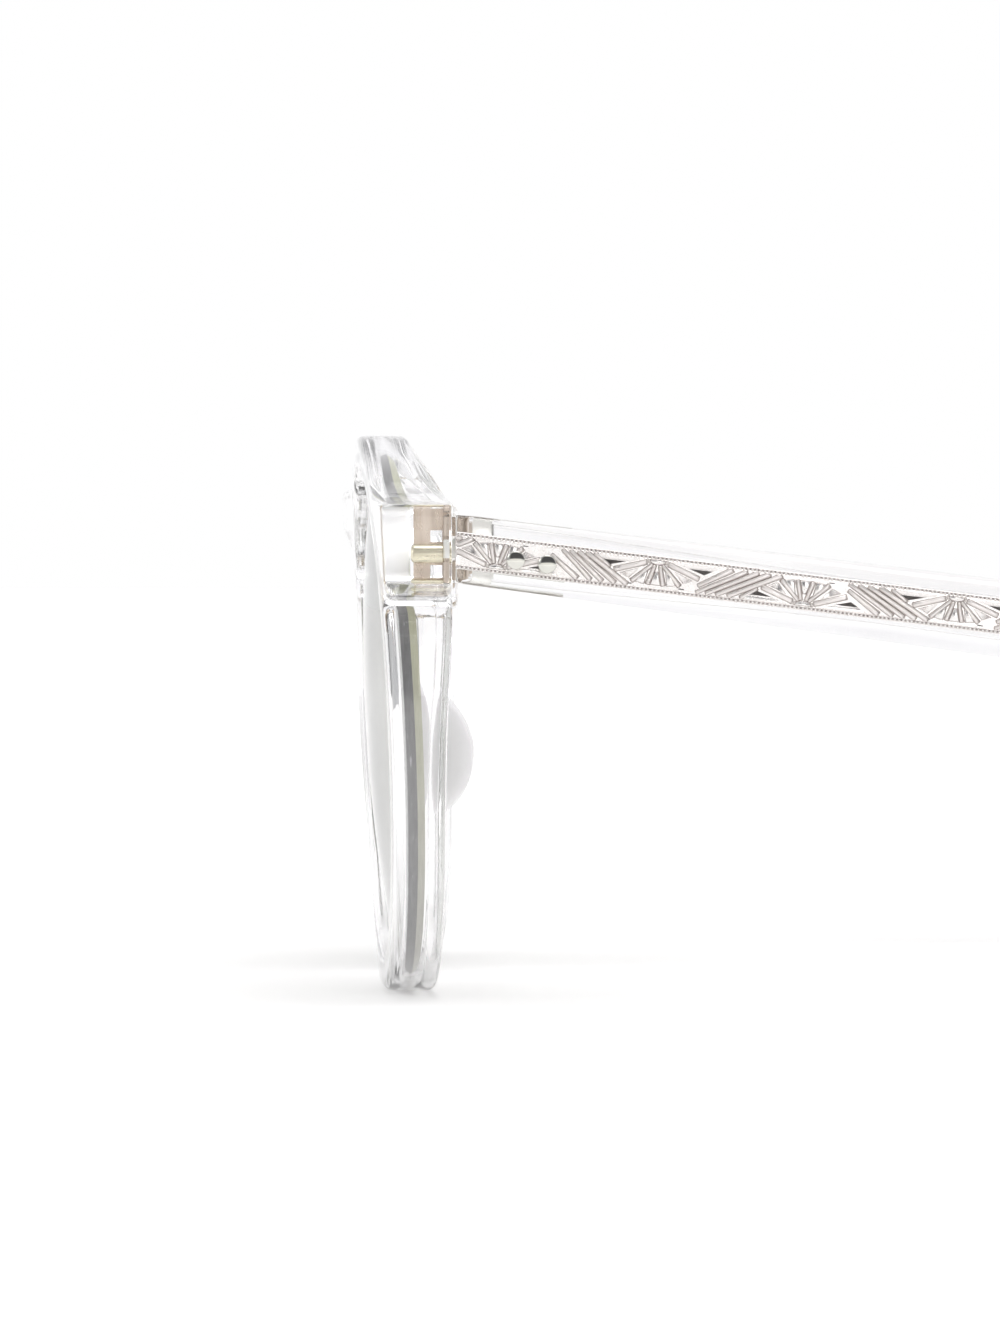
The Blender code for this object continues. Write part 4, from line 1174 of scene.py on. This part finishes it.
for side, word in ((1, "left"), (-1, "right")):
    add_piece(f"sun_lens_{word}", fine_lens(side), [LENS, EDGE_DARK, EDGE_OLIVE], "front", [f"lens_{word}"])
    add_piece(f"pad_{word}", fine_pad(side), [PAD], "front", [f"nose_pad_{word}"])
    add_piece(f"hinge_front_{word}", front_hinge(side), [HINGE], "front", [f"front_hinge_{word}"])
    add_piece(f"screw_{word}", hinge_screw(side), [POLISH], "front", [f"hinge_screw_{word}"])
    r = FRONT_RIVET_R
    for k, x in zip(("inner", "outer"), FRONT_RIVET_X):
        # a turned pin: rounded nose, plain shank with a fine ring, and a collar in the hinge's leaf
        profile = [
            (0.0, 5.3), (r - 0.16, 5.3), (r - 0.04, 5.26), (r, 5.18), (r, 4.55), (r - 0.04, 4.5), (r - 0.1, 4.46),
            (r - 0.1, 4.38), (r - 0.04, 4.34), (r, 4.3), (r, 1.95), (r - 0.03, 1.82), (r - 0.12, 1.72),
            (r - 0.28, 1.66), (r * 0.4, 1.62), (0.0, 1.61),
        ]
        add_piece(
            f"pin_{word}_{k}", turned(profile, (x, 0.0, FRONT_RIVET_Z), (0, 1, 0), side), [BRASS], "front",
            [f"front_rivet_{word}_{k}"],
        )
    body = f"temple_arm_{word}"
    add_piece(f"acetate_temple_{word}", fine_temple(side), [TEMPLE_ACETATE], body, [f"temple_{word}"])
    add_piece(f"engraved_core_{word}", fine_core(side), [SILVER, PATINA_AND_SHADE, SATIN, RECESS_SHADE], body, [f"wire_core_{word}"])
    add_piece(f"hinge_temple_{word}", temple_hinge(side), [HINGE_GREY], body, [f"temple_hinge_{word}"])
    inner = END_X - 5.08
    for k, s, (y, z) in zip(("front", "rear"), RIVETS, rivet_places()):
        out = table(OUTSIDE_X, s) + 0.03
        r = RIVET_R + 0.03
        dome = [(r * math.sin(math.pi / 2 * i / 10), out + 0.02 + 0.19 * math.cos(math.pi / 2 * i / 10)) for i in range(11)]
        profile = dome + [(r, out - 0.05), (r - 0.09, out - 0.12), (r - 0.09, inner), (r - 0.16, inner - 0.05), (0.0, inner - 0.06)]
        add_piece(
            f"rivet_{word}_{k}", turned(profile, (0.0, y, z), (1, 0, 0), side), [RIVET], body,
            [f"temple_rivet_{word}_{k}"],
        )


# ---------------------------------------------------------------- floor, light and camera
def studio():
    bm = bmesh.new()
    bmesh.ops.create_circle(bm, cap_ends=True, segments=96, radius=9.0)
    bmesh.ops.translate(bm, vec=(0, 0, -0.0002), verts=bm.verts)
    mesh = bpy.data.meshes.new("floor")
    bm.to_mesh(mesh)
    bm.free()
    floor = bpy.data.objects.new("floor", mesh)
    bpy.context.scene.collection.objects.link(floor)
    m, t, b = new_material("pale_table")
    t.links.new(ramp_of(t, noise_of(t, 3.0, 2.0), (0.84, 0.835, 0.83), (0.87, 0.865, 0.86)), b.inputs["Base Color"])
    b.inputs["Roughness"].default_value = 0.7
    b.inputs["Specular IOR Level"].default_value = 0.1
    b.inputs["Emission Color"].default_value = (1.0, 0.99, 0.98, 1.0)
    # the lamps light the middle of the table, so its own glow grows outwards
    coord = t.nodes.new("ShaderNodeTexCoord")
    away = t.nodes.new("ShaderNodeVectorMath")
    away.operation = "LENGTH"
    t.links.new(coord.outputs["Object"], away.inputs[0])
    t.links.new(range_of(t, away.outputs["Value"], 0.17, 0.40, (0.35, 1.0)), b.inputs["Emission Strength"])
    mesh.materials.append(m)

    world = bpy.data.worlds.new("studio")
    bpy.context.scene.world = world
    world.use_nodes = True
    t = world.node_tree
    t.nodes.clear()
    out = t.nodes.new("ShaderNodeOutputWorld")
    coord = t.nodes.new("ShaderNodeTexCoord")
    split = t.nodes.new("ShaderNodeSeparateXYZ")
    t.links.new(coord.outputs["Generated"], split.inputs["Vector"])

    def ease(source, low, high, to=(0.0, 1.0)):
        r = t.nodes.new("ShaderNodeMapRange")
        r.interpolation_type = "SMOOTHSTEP"
        r.inputs["From Min"].default_value, r.inputs["From Max"].default_value = low, high
        r.inputs["To Min"].default_value, r.inputs["To Max"].default_value = to
        t.links.new(source, r.inputs["Value"])
        return r.outputs["Result"]

    def times(a, b):
        n = t.nodes.new("ShaderNodeMath")
        n.operation = "MULTIPLY"
        t.links.new(a, n.inputs[0])
        t.links.new(b, n.inputs[1])
        return n.outputs[0]

    def blend(factor, a, b):
        """Colour a where factor is 0 and b where it is 1; each is a socket or a grey."""
        mix = t.nodes.new("ShaderNodeMix")
        mix.data_type = "RGBA"
        t.links.new(factor, mix.inputs["Factor"])
        for name, value in (("A", a), ("B", b)):
            if isinstance(value, tuple):
                mix.inputs[name].default_value = (*value, 1.0)
            else:
                t.links.new(value, mix.inputs[name])
        return mix.outputs["Result"]

    # a pale grey room with a white wall behind the glasses and an unlit corner high up on the near side
    x, y, z = (split.outputs[k] for k in "XYZ")
    room_colour = blend(ease(x, -0.45, -0.80), (0.97, 0.97, 0.975), (1.08, 1.08, 1.085))
    room_colour = blend(times(ease(x, 0.1, 0.4), ease(z, 0.25, 0.0)), room_colour, (1.12, 1.10, 1.07))
    flag = times(ease(y, -0.35, -0.6), ease(x, -0.35, 0.0))  # a grey card in front of the lenses
    room_colour = blend(flag, room_colour, (0.55, 0.555, 0.56))
    back = times(ease(y, 0.35, 0.6), ease(x, -0.75, -0.45))  # and a lighter one behind them
    room_colour = blend(back, room_colour, (0.62, 0.62, 0.63))
    above = times(ease(x, -0.3, -0.7), ease(z, 0.08, 0.30))  # the wall fades upwards
    room_colour = blend(above, room_colour, (1.02, 1.015, 1.03))
    dark = times(ease(x, 0.35, 0.65), times(times(ease(z, 0.07, 0.115), ease(z, 0.86, 0.72)), ease(y, -0.58, -0.40)))
    room_colour = blend(dark, room_colour, (0.10, 0.10, 0.105))
    room = t.nodes.new("ShaderNodeBackground")
    t.links.new(room_colour, room.inputs["Color"])
    plain = t.nodes.new("ShaderNodeBackground")
    plain.inputs["Color"].default_value = (1.0, 1.0, 1.0, 1.0)
    path = t.nodes.new("ShaderNodeLightPath")
    both = t.nodes.new("ShaderNodeMixShader")
    t.links.new(path.outputs["Is Camera Ray"], both.inputs["Fac"])
    t.links.new(room.outputs["Background"], both.inputs[1])
    t.links.new(plain.outputs["Background"], both.inputs[2])
    t.links.new(both.outputs["Shader"], out.inputs["Surface"])

    def soft_light(name, at, aim, size, power, colour=(1, 1, 1)):
        data = bpy.data.lights.new(name, "AREA")
        data.shape = "RECTANGLE"
        data.size, data.size_y = size
        data.energy = power
        data.color = colour
        ob = bpy.data.objects.new(name, data)
        ob.location = at
        ob.rotation_mode = "QUATERNION"
        ob.rotation_quaternion = (Vector(aim) - Vector(at)).to_track_quat("-Z", "Y")
        bpy.context.scene.collection.objects.link(ob)
        ob.visible_camera = False
        return ob

    soft_light("overhead_softbox", (0.15, 0.0, 1.1), (0, 0, 0), (0.6, 0.6), 3.4)
    soft_light("front_fill", (0.4, -1.2, 0.7), (0, 0, 0.02), (0.5, 0.5), 2.6)
    side_fill = soft_light("side_fill", (0.9, 0.15, 0.30), (0, -0.02, 0.03), (0.4, 0.4), 1.4)
    side_fill.visible_glossy = False


studio()

scene = bpy.context.scene
scene.view_settings.view_transform = "Standard"
scene.view_settings.look = "None"
scene.cycles.max_bounces = 32
scene.cycles.transmission_bounces = 32
scene.cycles.glossy_bounces = 12
scene.cycles.transparent_max_bounces = 16
scene.cycles.caustics_reflective = True
scene.cycles.caustics_refractive = True
scene.cycles.blur_glossy = 0.3
scene.cycles.sample_clamp_indirect = 6.0

camera_data = bpy.data.cameras.new("camera")
camera = bpy.data.objects.new("camera", camera_data)
scene.collection.objects.link(camera)
camera_data.sensor_width = 36.0
camera_data.lens = 248.0
camera_data.clip_start, camera_data.clip_end = 0.01, 30.0
# square on the wearer's left, level with the temples; the picture's middle lies 9.8 mm lower, at the front's plane
camera.location = to_world(855.0, 9.3, 39.0)
middle = to_world(70.0, 9.3, 39.0 - 114.0 / 11.7)
camera.rotation_mode = "QUATERNION"
camera.rotation_quaternion = (middle - camera.location).to_track_quat("-Z", "Y")
scene.camera = camera
